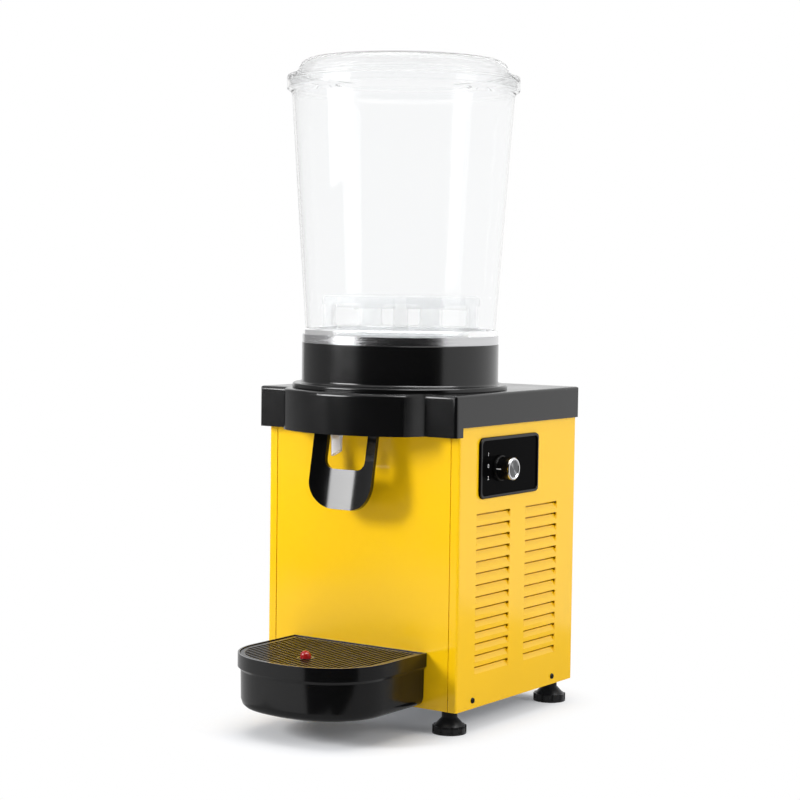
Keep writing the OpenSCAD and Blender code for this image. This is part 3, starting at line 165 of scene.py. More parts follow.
world = bpy.data.worlds.new("white_studio")
bpy.context.scene.world = world
world.use_nodes = True
tree = world.node_tree
tree.nodes.clear()
path = add_node(tree, "ShaderNodeLightPath")
seen = add_node(tree, "ShaderNodeMath", {0: path.outputs["Is Camera Ray"], 1: path.outputs["Is Glossy Ray"]},
                operation="MAXIMUM")
seen = add_node(tree, "ShaderNodeMath", {0: seen.outputs[0], 1: path.outputs["Is Transmission Ray"]},
                operation="MAXIMUM")
fill = add_node(tree, "ShaderNodeBackground", {"Color": FILL_TINT, "Strength": WORLD_FILL})
white = add_node(tree, "ShaderNodeBackground", {"Color": WHITE, "Strength": 1})
mixed = add_node(tree, "ShaderNodeMixShader", {0: seen.outputs[0], 1: fill.outputs[0], 2: white.outputs[0]})
add_node(tree, "ShaderNodeOutputWorld", {"Surface": mixed.outputs[0]})
print("world fill:", WORLD_FILL)

# %% [markdown]
# The floor keeps the object's shadow: near the object it is a matte white with a faint glow of its own,
# and further out it fades to pure white. Light that bounces off it meets a plain pale floor instead.

# %% Floor
FLOOR_SIDE = 8
FLOOR_CUTS = 3
FLOOR_GLOW = 0.03
SHADOW_HALF = (0.06, 0.15, 0)
SHADOW_FADE = 0.1
FLOOR_MATTE = (0.93, 0.94, 0.96, 1)
FLOOR_BOUNCE = (0.8, 0.8, 0.8, 1)

bpy.ops.object.select_all(action="DESELECT")
bpy.ops.mesh.primitive_plane_add(size=FLOOR_SIDE)
floor = bpy.context.object
floor.name = "studio_floor"
bpy.ops.object.mode_set(mode="EDIT")
bpy.ops.mesh.subdivide(number_cuts=FLOOR_CUTS)
bpy.ops.object.mode_set(mode="OBJECT")

floor_white = bpy.data.materials.new("floor_white")
floor_white.use_nodes = True
tree = floor_white.node_tree
tree.nodes.clear()
path = add_node(tree, "ShaderNodeLightPath")
place = add_node(tree, "ShaderNodeTexCoord")
size = add_node(tree, "ShaderNodeVectorMath", {0: place.outputs["Object"]}, operation="ABSOLUTE")
past = add_node(tree, "ShaderNodeVectorMath", {0: size.outputs[0], 1: SHADOW_HALF}, operation="SUBTRACT")
past = add_node(tree, "ShaderNodeVectorMath", {0: past.outputs[0], 1: (0, 0, 0)}, operation="MAXIMUM")
far = add_node(tree, "ShaderNodeVectorMath", {0: past.outputs[0]}, operation="LENGTH")
rim = add_node(tree, "ShaderNodeMapRange",
               {"Value": far.outputs["Value"], "From Min": 0.0, "From Max": SHADOW_FADE},
               interpolation_type="SMOOTHSTEP")
matte = add_node(tree, "ShaderNodeBsdfDiffuse", {"Color": FLOOR_MATTE})
glow = add_node(tree, "ShaderNodeEmission", {"Color": WHITE, "Strength": FLOOR_GLOW})
both = add_node(tree, "ShaderNodeAddShader", {0: matte.outputs[0], 1: glow.outputs[0]})
white = add_node(tree, "ShaderNodeEmission", {"Color": WHITE, "Strength": 1})
near = add_node(tree, "ShaderNodeMixShader", {0: rim.outputs[0], 1: both.outputs[0], 2: white.outputs[0]})
lit = add_node(tree, "ShaderNodeBsdfDiffuse", {"Color": FLOOR_BOUNCE})
chosen = add_node(tree, "ShaderNodeMixShader",
                  {0: path.outputs["Is Diffuse Ray"], 1: near.outputs[0], 2: lit.outputs[0]})
add_node(tree, "ShaderNodeOutputMaterial", {"Surface": chosen.outputs[0]})
floor.data.materials.append(floor_white)
print(floor.name, "side:", FLOOR_SIDE, "m")

# %% [markdown]
# Three soft lamps light the object. The key hangs high on the left of the camera and throws the
# lever's shadow to the right on the panel. A wide one overhead fills the tops, and a tall one on
# the right lights the side panel. No mirror sees the lamps themselves.

# %% Lamps
LAMPS = {
    "key_lamp": ((-950, -1480, 940), (0, 0, 250), (0.42, 0.56), 26.5),
    "top_lamp": ((0, 100, 1700), (0, 60, 300), (1.4, 1.4), 12),
    "side_lamp": ((1900, 300, 700), (100, 100, 250), (0.8, 1.4), 16),
}


def soft_lamp(name, place, target, size, watts):
    """A rectangular lamp at a place of the cabinet, turned to a target."""
    bpy.ops.object.light_add(type="AREA", location=at(*place))
    lamp = bpy.context.object
    lamp.name = name
    lamp.data.shape = "RECTANGLE"
    lamp.data.size, lamp.data.size_y = size
    lamp.data.energy = watts
    lamp.visible_glossy = False
    lamp.rotation_euler = (at(*target) - lamp.location).to_track_quat("-Z", "Y").to_euler()


for name, setting in LAMPS.items():
    soft_lamp(name, *setting)
print("lamps:", list(LAMPS))

# %% [markdown]
# Cards that only mirrors see shape the reflections. Without the dark ones a glossy black surface in a
# white room has nothing dark to mirror. The two bright ones put a gleam on the lever and on edges that
# face up. Some cards stand round the object, the others lie flat, each at a height of its own.

# %% Cards
CARD_TONES = {"black": 0, "dim": 0.32, "pale": 0.62, "bright": 10, "gleam": 13}
SCREEN_AWAY, SCREEN_SIZE = 2600, (2.0, 2.4)
SCREENS = {"dark_left": (-16, "black"), "dark_middle": (24, "black"), "dark_right": (64, "black"),
           "dim_front": (-58, "dim"), "dim_back": (-98, "dim")}
LYING_CARDS = {
    "dark_floor": (33.5, 1919, (2.6, 2.6), "black", 5, -12),
    "pale_floor": (-75, 380, (1.6, 0.8), "pale", 4, None),
    "far_floor": (-30, 1650, (2.6, 1.9), "black", 3, None),
    "right_floor": (106, 900, (1.0, 1.4), "dim", 2, None),
    "near_floor": (96, 250, (0.36, 0.36), "dim", 6, None),
    "under_tray": (0, 120, (0.22, 0.18), "dim", 7, None),
    "high_gleam": (80, 1100, (2.0, 0.9), "bright", 1900, None),
}
GLEAM_AZIMUTH, GLEAM_AWAY, GLEAM_SIZE, GLEAM_RAISED = -33.5, 1750, (0.98, 1.0), 450


def card_tone(name, level):
    """A plain grey that glows at one level, for a card."""
    material = bpy.data.materials.new(name)
    material.use_nodes = True
    tree = material.node_tree
    tree.nodes.clear()
    glow = add_node(tree, "ShaderNodeEmission", {"Color": WHITE, "Strength": level})
    add_node(tree, "ShaderNodeOutputMaterial", {"Surface": glow.outputs[0]})
    return material


def card(name, azimuth, distance, size, tone, lying=0, facing=None, raised=0):
    """A card that only mirrors see, upright or lying at a height, turned to the cabinet."""
    away = math.radians(azimuth)
    turned = away if facing is None else math.radians(facing)
    height = lying or raised + size[1] / 2 / MM
    bpy.ops.object.select_all(action="DESELECT")
    bpy.ops.mesh.primitive_plane_add(size=1)
    piece = bpy.context.object
    piece.name = name
    piece.scale = (size[0], size[1], 1)
    piece.location = at(distance * math.sin(away), -distance * math.cos(away), height)
    piece.rotation_euler = (0 if lying else math.radians(90), 0, turned)
    piece.data.materials.append(tone)
    piece.visible_camera = False
    piece.visible_diffuse = False
    piece.visible_transmission = False
    piece.visible_shadow = False


tones = {name: card_tone("card_" + name, level) for name, level in CARD_TONES.items()}
for name, (azimuth, tone) in SCREENS.items():
    card(name, azimuth, SCREEN_AWAY, SCREEN_SIZE, tones[tone])
for name, (azimuth, distance, size, tone, height, facing) in LYING_CARDS.items():
    card(name, azimuth, distance, size, tones[tone], lying=height, facing=facing)
card("key_gleam", GLEAM_AZIMUTH, GLEAM_AWAY, GLEAM_SIZE, tones["gleam"], raised=GLEAM_RAISED)
print("cards:", len(SCREENS) + len(LYING_CARDS) + 1)

# %% [markdown]
# Two effects come back in many finishes, so each is a shader group. Mottle turns noise into a value
# between two limits, for roughness that is never quite even. Relief turns noise into a bumped normal,
# for the grain of moulded plastic and the orange peel of paint.

# %% Shared shader groups
mottle_tree, group_in, group_out = new_group(
    "mottle",
    [("Vector", VECTOR, None), ("Scale", FLOAT, 40), ("Low", FLOAT, 0.2), ("High", FLOAT, 0.4)],
    [("Value", FLOAT)])
noise = add_node(mottle_tree, "ShaderNodeTexNoise",
                 {"Vector": group_in.outputs["Vector"], "Scale": group_in.outputs["Scale"], "Detail": 4,
                  "Roughness": 0.6})
spread = add_node(mottle_tree, "ShaderNodeMapRange",
                  {"Value": noise.outputs["Fac"], "From Min": 0.3, "From Max": 0.7,
                   "To Min": group_in.outputs["Low"], "To Max": group_in.outputs["High"]})
mottle_tree.links.new(spread.outputs[0], group_out.inputs["Value"])

relief_tree, group_in, group_out = new_group(
    "relief",
    [("Vector", VECTOR, None), ("Scale", FLOAT, 900), ("Strength", FLOAT, 0.1), ("Depth", FLOAT, 0.0002)],
    [("Normal", VECTOR)])
noise = add_node(relief_tree, "ShaderNodeTexNoise",
                 {"Vector": group_in.outputs["Vector"], "Scale": group_in.outputs["Scale"], "Detail": 2})
bump = add_node(relief_tree, "ShaderNodeBump",
                {"Height": noise.outputs["Fac"], "Strength": group_in.outputs["Strength"],
                 "Distance": group_in.outputs["Depth"]})
relief_tree.links.new(bump.outputs[0], group_out.inputs["Normal"])
print("shader groups:", mottle_tree.name, relief_tree.name)

# %% [markdown]
# A finish starts from the same few nodes: Object coordinates, a mottled roughness, a fine relief and
# a colour that drifts a little between two near shades, in patches larger than the mottle.

# %% Recipe of a finish
DRIFT_SIZE = 3


def finish(name, colours, rough, mottle_scale=30, grain=900, grain_strength=0.05, grain_depth=0.0001,
           stretch=(1, 1, 1), **constants):
    """A material with a drifting colour, a mottled roughness and a fine relief, drawn out along an axis."""
    material = bpy.data.materials.new(name)
    material.use_nodes = True
    tree = material.node_tree
    tree.nodes.clear()
    place = add_node(tree, "ShaderNodeTexCoord").outputs["Object"]
    place = add_node(tree, "ShaderNodeVectorMath", {0: place, 1: stretch}, operation="MULTIPLY").outputs[0]
    mottle = add_node(tree, "ShaderNodeGroup", node_tree=mottle_tree)
    relief = add_node(tree, "ShaderNodeGroup", node_tree=relief_tree)
    drift = add_node(tree, "ShaderNodeTexNoise",
                     {"Vector": place, "Scale": mottle_scale / DRIFT_SIZE, "Detail": 2})
    tint = add_node(tree, "ShaderNodeMix", {"Factor": drift.outputs["Fac"]}, data_type="RGBA")
    tint.inputs["A"].default_value = (*colours[0], 1)
    tint.inputs["B"].default_value = (*colours[1], 1)
    for label, value in (("Scale", mottle_scale), ("Low", rough[0]), ("High", rough[1])):
        mottle.inputs[label].default_value = value
    for label, value in (("Scale", grain), ("Strength", grain_strength), ("Depth", grain_depth)):
        relief.inputs[label].default_value = value
    tree.links.new(place, mottle.inputs["Vector"])
    tree.links.new(place, relief.inputs["Vector"])
    surface = add_node(tree, "ShaderNodeBsdfPrincipled",
                       {"Base Color": tint.outputs["Result"], "Roughness": mottle.outputs["Value"],
                        "Normal": relief.outputs["Normal"]})
    for label, value in constants.items():
        surface.inputs[label.replace("_", " ")].default_value = value
    add_node(tree, "ShaderNodeOutputMaterial", {"Surface": surface.outputs[0]})
    return material


# %% [markdown]
# The cabinet is enamelled and the mouldings are black. Blacks differ mostly in their roughness: the
# lever is glossy, cover, collar and tray are satin, and feet and grid are dull.

# %% Enamel and mouldings
SATIN_SHADES = ((0.0028, 0.0028, 0.003), (0.0036, 0.0036, 0.0038))
GLOSS_SHADES = ((0.002, 0.002, 0.0022), (0.0026, 0.0026, 0.0028))
yellow_enamel = finish("yellow_enamel", ((0.93, 0.545, 0.004), (0.95, 0.565, 0.006)), (0.12, 0.16), grain=700,
                       grain_strength=0.04, grain_depth=0.00012)
black_satin = finish("black_satin", SATIN_SHADES, (0.15, 0.2), grain=2400, grain_strength=0.03)
tray_black = finish("tray_black", SATIN_SHADES, (0.14, 0.18), grain=2400, grain_strength=0.03)
black_gloss = finish("black_gloss", GLOSS_SHADES, (0.09, 0.13), grain=300, grain_strength=0.02)
black_matte = finish("black_matte", ((0.004, 0.004, 0.0045), (0.006, 0.006, 0.0065)), (0.3, 0.42), grain=3200,
                     grain_strength=0.25, Specular_IOR_Level=0.25)
grid_black = finish("grid_black", ((0.003, 0.003, 0.0032), (0.004, 0.004, 0.0042)), (0.2, 0.28), grain=2400,
                    grain_strength=0.08, Specular_IOR_Level=0.18)
panel_film = finish("panel_film", GLOSS_SHADES, (0.06, 0.1), grain=300, grain_strength=0.02, IOR=1.06)
grey_plastic = finish("grey_plastic", ((0.16, 0.165, 0.17), (0.2, 0.205, 0.21)), (0.4, 0.5))
red_cap = finish("red_cap", ((0.34, 0.006, 0.006), (0.4, 0.01, 0.009)), (0.12, 0.2))
white_print = finish("white_print", ((0.75, 0.75, 0.75), (0.82, 0.82, 0.82)), (0.4, 0.5))
print("materials so far:", len(bpy.data.materials))

# %% [markdown]
# The pot's steel is brushed round its axis, so its mottle is drawn out along X and Y. The other metals
# belong to the cold circuit, the frame and the knob.

# %% Metals
steel_bright = finish("steel_bright", ((0.58, 0.58, 0.59), (0.66, 0.66, 0.67)), (0.16, 0.3), mottle_scale=600,
                      grain=1800, grain_strength=0.12, stretch=(0.02, 0.02, 1), Metallic=1)
zinc_plate = finish("zinc_plate", ((0.5, 0.51, 0.53), (0.58, 0.59, 0.6)), (0.35, 0.5), grain=200, Metallic=1)
chrome_cap = finish("chrome_cap", ((0.8, 0.8, 0.81), (0.85, 0.85, 0.86)), (0.05, 0.09), Metallic=1)
satin_disc = finish("satin_disc", ((0.12, 0.122, 0.125), (0.16, 0.162, 0.165)), (0.18, 0.26), Metallic=1)
copper_tube = finish("copper_tube", ((0.6, 0.28, 0.16), (0.7, 0.36, 0.22)), (0.25, 0.4), Metallic=1)
dark_iron = finish("dark_iron", ((0.03, 0.03, 0.032), (0.05, 0.05, 0.052)), (0.4, 0.55), Metallic=0.6)
fin_metal = finish("fin_metal", ((0.05, 0.05, 0.052), (0.08, 0.08, 0.082)), (0.35, 0.45), Metallic=0.8)
print("materials so far:", len(bpy.data.materials))

# %% [markdown]
# Bowl and lid are clear. A low refraction keeps their edges pale before a white room, as thin clear
# plastic has them. The drum lets most of the light by, and the hose and the gasket scatter it.

# %% Clear, milky and soft finishes
CLEAR_SHADES = ((0.965, 0.97, 0.972), (0.975, 0.978, 0.98))
bowl_clear = finish("bowl_clear", CLEAR_SHADES, (0.01, 0.02), grain=60, grain_strength=0.01,
                    Transmission_Weight=1, IOR=1.2)
lid_clear = finish("lid_clear", CLEAR_SHADES, (0.01, 0.02), grain=60, grain_strength=0.01,
                   Transmission_Weight=1, IOR=1.13, Alpha=0.85)
drum_milk = finish("drum_milk", ((0.5, 0.51, 0.52), (0.55, 0.56, 0.56)), (0.25, 0.35), Alpha=0.18, IOR=1.2)
milky_silicone = finish("milky_silicone", ((0.84, 0.83, 0.84), (0.9, 0.89, 0.9)), (0.14, 0.22),
                        Transmission_Weight=0.6, IOR=1.41)
clear_seal = finish("clear_seal", ((0.9, 0.91, 0.92), (0.94, 0.95, 0.95)), (0.12, 0.2),
                    Transmission_Weight=0.85, IOR=1.42)
soft_rubber = finish("soft_rubber", ((0.02, 0.02, 0.02), (0.03, 0.03, 0.03)), (0.6, 0.75), grain_strength=0.2)
pale_foam = finish("pale_foam", ((0.75, 0.66, 0.4), (0.85, 0.76, 0.5)), (0.8, 0.9), grain=400,
                   grain_strength=0.5)
print("materials, with floor and cards:", len(bpy.data.materials))

# %% [markdown]
# The control panel is a dull film in a polished bezel. Both are one moulding, so the polish is a coat
# that starts where the surface stands proud of the face.

# %% Bezel of the control panel
FACE_OUT, BEZEL_OUT, BEZEL_POLISH = 121.6, 122, 0.7

tree = panel_film.node_tree
surface = tree.nodes["Principled BSDF"]
place = add_node(tree, "ShaderNodeTexCoord").outputs["Object"]
proud = add_node(tree, "ShaderNodeSeparateXYZ", {0: place}).outputs["X"]
bezel = add_node(tree, "ShaderNodeMapRange",
                 {"Value": proud, "From Min": at(FACE_OUT, 0, 0).x, "From Max": at(BEZEL_OUT, 0, 0).x,
                  "To Max": BEZEL_POLISH})
tree.links.new(bezel.outputs[0], surface.inputs["Coat Weight"])
print("bezel from:", FACE_OUT, "mm")

# %% [markdown]
# Every node of the frame gets its finish here. The pieces that are modelled again later take the same
# finish from this list, so each finish is chosen in one place.

# %% Finish of every node
FINISH_OF = {
    yellow_enamel: ["front_panel", "right_side_panel", "left_side_panel", "rear_panel"],
    black_satin: ["top_cover", "collar"],
    tray_black: ["drip_tray"],
    black_gloss: ["tap_lever"],
    panel_film: ["control_panel"],
    grid_black: ["drip_grid", "control_knob"],
    black_matte: ["tap_carrier", "panel_screws", "front_right_foot", "front_left_foot", "rear_right_foot",
                  "rear_left_foot", "cable_gland", "fan_shroud"],
    bowl_clear: ["bowl"],
    lid_clear: ["lid"],
    drum_milk: ["mixer_drum"],
    milky_silicone: ["tap_hose"],
    clear_seal: ["bowl_gasket"],
    soft_rubber: ["compressor_mounts"],
    steel_bright: ["evaporator_pot", "mixer_spindle", "outlet_pipe", "motor_shaft", "switch_shaft",
                   "lever_pins", "lever_springs", "hose_clip"],
    zinc_plate: ["base_plate", "deck_plate", "motor_bracket", "tray_prongs", "foot_nuts"],
    chrome_cap: ["knob_cap"],
    dark_iron: ["compressor", "mixer_motor", "fan_motor", "drum_magnet", "drive_magnet"],
    red_cap: ["level_float"],
    copper_tube: ["evaporator_coil", "filter_drier", "capillary_line", "discharge_line", "suction_line"],
    pale_foam: ["foam_insulation"],
    grey_plastic: ["rotary_switch", "start_relay", "thermostat", "fan"],
    fin_metal: ["condenser"],
}
finish_of_node = {n: material for material, names in FINISH_OF.items() for n in names}
for name, node in nodes.items():
    node.data.materials.clear()
    node.data.materials.append(finish_of_node[name])
print("dressed:", len(finish_of_node))

# %% [markdown]
# The rest of the lesson models pieces. A few helpers keep each one short. One selects a piece alone,
# because an operator acts on all that is selected, and one joins several. One hands a finished piece
# over: it takes the node's finish, rides on the node's body and may stand in the node's place.


def only(piece):
    """Selects one object alone and makes it active."""
    bpy.ops.object.select_all(action="DESELECT")
    piece.select_set(True)
    bpy.context.view_layer.objects.active = piece


def join(pieces):
    """Joins pieces into the first one."""
    bpy.ops.object.select_all(action="DESELECT")
    for piece in pieces:
        piece.select_set(True)
    bpy.context.view_layer.objects.active = pieces[0]
    bpy.ops.object.join()
    return pieces[0]


def settle(piece, node, material=None, instead=True):
    """Gives a piece its finish and its body, and lets it stand for the node unless told otherwise."""
    if not piece.data.materials:
        piece.data.materials.append(material or finish_of_node[node])
    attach(piece, body_of_node[node])
    if instead:
        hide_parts(node)
    size = [round(v / MM, 1) for v in piece.dimensions]
    print(piece.name, "faces:", len(piece.data.polygons), "size:", size)


def apply_modifier(piece, kind, **settings):
    """Adds one modifier with its settings and applies it at once."""
    only(piece)
    modifier = piece.modifiers.new(kind.title(), kind)
    for name, value in settings.items():
        setattr(modifier, name, value)
    bpy.ops.object.modifier_apply(modifier=modifier.name)


# %% [markdown]
# A moulded or folded edge is never sharp: a radius of half a millimetre is enough to draw a thin bright
# line along it. Copies of the solids get such edges. A copy is merged first, because a solid's mesh
# comes as loose triangles, and its flat faces are joined, so that the bevel meets whole faces.

# %% Rounding the edges of a copy
MERGE_GAP = 0.00001
FLAT_ANGLE, BEVEL_ANGLE, SMOOTH_ANGLE = 0.5, 32, 38
BEVEL_SEGMENTS = 3
SOFT_EDGES = {
    "front_panel": 0.4, "top_cover": 0.9, "tap_lever": 1.3, "drip_tray": 0.9, "drip_grid": 0.45,
    "control_panel": 0.5, "control_knob": 0.6, "mixer_drum": 0.7, "evaporator_pot": 0.45, "cable_gland": 0.6,
    "front_right_foot": 0.8, "front_left_foot": 0.8, "rear_right_foot": 0.8, "rear_left_foot": 0.8,
}


def soften(node, width, flatten=True):
    """A copy of a node with its sharp edges rounded, width in millimetres."""
    only(nodes[node])
    bpy.ops.object.duplicate()
    piece = bpy.context.object
    piece.name = node + "_form"
    piece.parent = None
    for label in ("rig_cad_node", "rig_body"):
        del piece[label]
    piece.data.materials.clear()
    bpy.ops.object.mode_set(mode="EDIT")
    bpy.ops.mesh.select_all(action="SELECT")
    bpy.ops.mesh.remove_doubles(threshold=MERGE_GAP)
    if flatten:
        bpy.ops.mesh.dissolve_limited(angle_limit=math.radians(FLAT_ANGLE))
    bpy.ops.object.mode_set(mode="OBJECT")
    bpy.ops.mesh.customdata_custom_splitnormals_clear()
    apply_modifier(piece, "BEVEL", width=width * MM, segments=BEVEL_SEGMENTS, limit_method="ANGLE",
                   angle_limit=math.radians(BEVEL_ANGLE), miter_outer="MITER_ARC")
    bpy.ops.object.shade_smooth_by_angle(angle=math.radians(SMOOTH_ANGLE))
    apply_modifier(piece, "WEIGHTED_NORMAL", keep_sharp=True)
    return piece


for node, width in SOFT_EDGES.items():
    settle(soften(node, width, flatten=node != "drip_grid"), node)

# %% [markdown]
# Bowl, lid, gasket, collar and float are turned forms. Each is one outline of radii and heights, spun
# round its axis. The outline's corners carry their own fillets, so the rolled lip of the bowl and the
# shoulder of the lid come out of the same few numbers.

# %% Turned forms
ARC_STEPS = 6
TURN_STEPS, TURN_MERGE, TURN_SMOOTH = 160, 0.000001, 40


def rounded(corners):
    """Turns (radius, height, fillet) corners into points, each fillet an arc."""
    points = []
    for i, (radius, height, fillet) in enumerate(corners):
        here = Vector((radius, height))
        if not fillet:
            points.append(here)
            continue
        back = (Vector(corners[i - 1][:2]) - here).normalized()
        ahead = (Vector(corners[(i + 1) % len(corners)][:2]) - here).normalized()
        half = back.angle(ahead) / 2
        heart = here + (back + ahead).normalized() * (fillet / math.sin(half))
        start = here + back * (fillet / math.tan(half)) - heart
        end = here + ahead * (fillet / math.tan(half)) - heart
        points += [heart + start.slerp(end, k / ARC_STEPS) * fillet for k in range(ARC_STEPS + 1)]
    return points


def turn_form(name, outline, axis, steps=TURN_STEPS):
    """Spins an outline of (radius, height) points, in millimetres, round an upright axis."""
    points = [axis + Vector((p[0], 0, p[1])) * MM for p in outline]
    bpy.ops.object.select_all(action="DESELECT")
    bpy.ops.mesh.primitive_plane_add(size=MM)
    piece = bpy.context.object
    piece.name = name
    bpy.ops.object.mode_set(mode="EDIT")
    bpy.ops.mesh.select_all(action="SELECT")
    bpy.ops.mesh.merge(type="CENTER")
    bpy.ops.transform.translate(value=points[0])
    for here, ahead in zip(points, points[1:]):
        bpy.ops.mesh.extrude_region_move(TRANSFORM_OT_translate={"value": ahead - here})
    bpy.ops.mesh.select_all(action="SELECT")
    bpy.ops.mesh.spin(steps=steps, angle=math.tau, center=axis, axis=(0, 0, 1))
    bpy.ops.mesh.select_all(action="SELECT")
    bpy.ops.mesh.remove_doubles(threshold=TURN_MERGE)
    bpy.ops.mesh.normals_make_consistent(inside=False)
    bpy.ops.object.mode_set(mode="OBJECT")
    bpy.ops.object.shade_smooth_by_angle(angle=math.radians(TURN_SMOOTH))
    apply_modifier(piece, "WEIGHTED_NORMAL", keep_sharp=True)
    return piece


def closed(corners):
    """The points of an outline that ends where it starts."""
    points = rounded(corners)
    return points + points[:1]


# %% [markdown]
# The bowl tapers down to its seat. At the top it widens into a rolled lip that takes the lid.

# %% Bowl
BOWL_LOW, BOWL_HIGH = (v.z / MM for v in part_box("bowl"))
BOWL_FOOT_R, BOWL_TOP_R, BOWL_WALL = 99.7, 116.4, 2.6
LIP_R, LIP_LOW = 121.6, BOWL_HIGH - 13
bowl_corners = [
    (BOWL_FOOT_R, BOWL_LOW, 0.8), (BOWL_TOP_R, LIP_LOW, 5), (LIP_R, LIP_LOW + 4, 2.2),
    (LIP_R, BOWL_HIGH, 1.1), (LIP_R - BOWL_WALL, BOWL_HIGH, 1.1), (LIP_R - BOWL_WALL, LIP_LOW + 5, 1.6),
    (BOWL_TOP_R - BOWL_WALL, LIP_LOW + 1, 5), (BOWL_FOOT_R - BOWL_WALL, BOWL_LOW, 0.8),
]
bowl_wall = turn_form("bowl_wall", closed(bowl_corners), bowl_axis)
bowl_wall.visible_shadow = False
settle(bowl_wall, "bowl")

# %% [markdown]
# The lid is one thin shell: a flat top with a round shoulder, a step, a rim that lies on the bowl's lip
# and a plug that reaches into it.

# %% Lid
LID_LOW = BOWL_HIGH + 0.2
LID_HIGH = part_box("lid")[1].z / MM
SHELL, SHOULDER = 2.4, 12.5
TOP_R, STEP_R, STEP_RISE = 110, 114, 8
RIM_RISE, PLUG_R, PLUG_DROP = 5, 118.6, 7
lid_corners = [
    (0, LID_HIGH, 0), (TOP_R, LID_HIGH, SHOULDER), (TOP_R, LID_LOW + STEP_RISE, 1),
    (STEP_R, LID_LOW + STEP_RISE, 1.2), (STEP_R + 0.6, LID_LOW + SHELL, 1),
    (LIP_R - SHELL, LID_LOW + SHELL, 1), (LIP_R - SHELL, LID_LOW + RIM_RISE, 1.1),
    (LIP_R, LID_LOW + RIM_RISE, 1.1), (LIP_R, LID_LOW, 0.8),
    (PLUG_R, LID_LOW, 0.3), (PLUG_R, LID_LOW - PLUG_DROP, 0.8), (PLUG_R - SHELL, LID_LOW - PLUG_DROP, 0.8),
    (PLUG_R - SHELL, LID_LOW, 0.3), (STEP_R - SHELL, LID_LOW, 0.3),
    (STEP_R - SHELL, LID_LOW + STEP_RISE - SHELL, 1), (TOP_R - SHELL, LID_LOW + STEP_RISE - SHELL, 1),
    (TOP_R - SHELL, LID_HIGH - SHELL, SHOULDER - SHELL), (0, LID_HIGH - SHELL, 0),
]
lid_shell = turn_form("lid_shell", rounded(lid_corners), bowl_axis)
lid_shell.visible_shadow = False
settle(lid_shell, "lid")

# %% [markdown]
# The gasket is a ring with a groove for the bowl's foot.

# %% Gasket
SEAL_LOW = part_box("bowl_gasket")[0].z / MM
SEAL_IN, SEAL_OUT, SEAL_TALL = 95.1, 102.4, 6.5
GROOVE_IN, GROOVE_OUT, GROOVE_FLOOR = 96.7, 100.1, 2
SEAL_TOP = SEAL_LOW + SEAL_TALL
gasket_corners = [
    (SEAL_IN, SEAL_LOW, 0.4), (SEAL_OUT, SEAL_LOW, 0.4), (SEAL_OUT, SEAL_TOP - 1.5, 0.8),
    (SEAL_OUT - 2, SEAL_TOP, 0.8), (GROOVE_OUT, SEAL_TOP, 0.2), (GROOVE_OUT, SEAL_LOW + GROOVE_FLOOR, 0.2),
    (GROOVE_IN, SEAL_LOW + GROOVE_FLOOR, 0.2), (GROOVE_IN, SEAL_TOP, 0.4), (SEAL_IN, SEAL_TOP, 0.4),
]
settle(turn_form("gasket_ring", closed(gasket_corners), bowl_axis), "bowl_gasket")

# %% [markdown]
# The collar is a plain jacket that flares into a foot where it meets the cover.

# %% Collar
COLLAR_LOW, COLLAR_HIGH = (v.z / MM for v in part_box("collar"))
COLLAR_R, COLLAR_WALL = 103.3, 3.0
FLARE_R, FLARE_TALL = 113, 5
collar_corners = [
    (COLLAR_R - COLLAR_WALL, COLLAR_LOW, 0), (FLARE_R, COLLAR_LOW, 0.6),
    (FLARE_R, COLLAR_LOW + FLARE_TALL, 2.2), (COLLAR_R, COLLAR_LOW + FLARE_TALL, 3.5),
    (COLLAR_R, COLLAR_HIGH, 0.9), (COLLAR_R - COLLAR_WALL, COLLAR_HIGH, 0.9),
]
settle(turn_form("collar_jacket", closed(collar_corners), bowl_axis), "collar")

# %% [markdown]
# The float is a round red tip on a stem, with a flat disc below that swims in the tray.

# %% Level float
FLOAT_LOW, FLOAT_HIGH = (v.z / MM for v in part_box("level_float"))
float_axis = Vector((middle("level_float").x, middle("level_float").y, 0))
TIP_R, TIP_TOP, TIP_LOW = 5.4, FLOAT_HIGH - 1, FLOAT_HIGH - 10
STEM_R, DISC_R, DISC_TOP = 3, 16, FLOAT_LOW + 9
FLOAT_STEPS = 48
float_corners = [
    (0, TIP_TOP, 0), (TIP_R, TIP_TOP, 5), (TIP_R, TIP_LOW, 0.6), (STEM_R, TIP_LOW, 0.4),
    (STEM_R, DISC_TOP, 0.6), (DISC_R, DISC_TOP, 1.5), (DISC_R, FLOAT_LOW, 1.5), (0, FLOAT_LOW, 0),
]
settle(turn_form("float_cap", rounded(float_corners), float_axis, steps=FLOAT_STEPS), "level_float")

# %% [markdown]
# The knob's bright end is two turned forms that lie on their side: a polished ring and a satin disc
# with fine grooves. Each is turned upright at the origin first and then laid along the knob's axis.

# %% Knob cap
CAP_STEPS = 96
RING_EDGE, RING_LAND, RING_SLOPE, RING_BORE = 0.9, 2.0, 2.8, 4.5
DISC_INSET, DISC_SINK, DISC_BACK = 3, 0.5, 0.4
GROOVES, GROOVE_HALF, GROOVE_DEEP, GROOVE_MARGIN = 6, 0.18, 0.18, 0.1


def lay_on_side(piece, place):
    """Turns an upright form so that its axis points to the right, and moves it to a place."""
    only(piece)
    piece.rotation_euler = (0, math.radians(90), 0)
    piece.location = place
    bpy.ops.object.transform_apply(location=True, rotation=True, scale=True)
    return piece


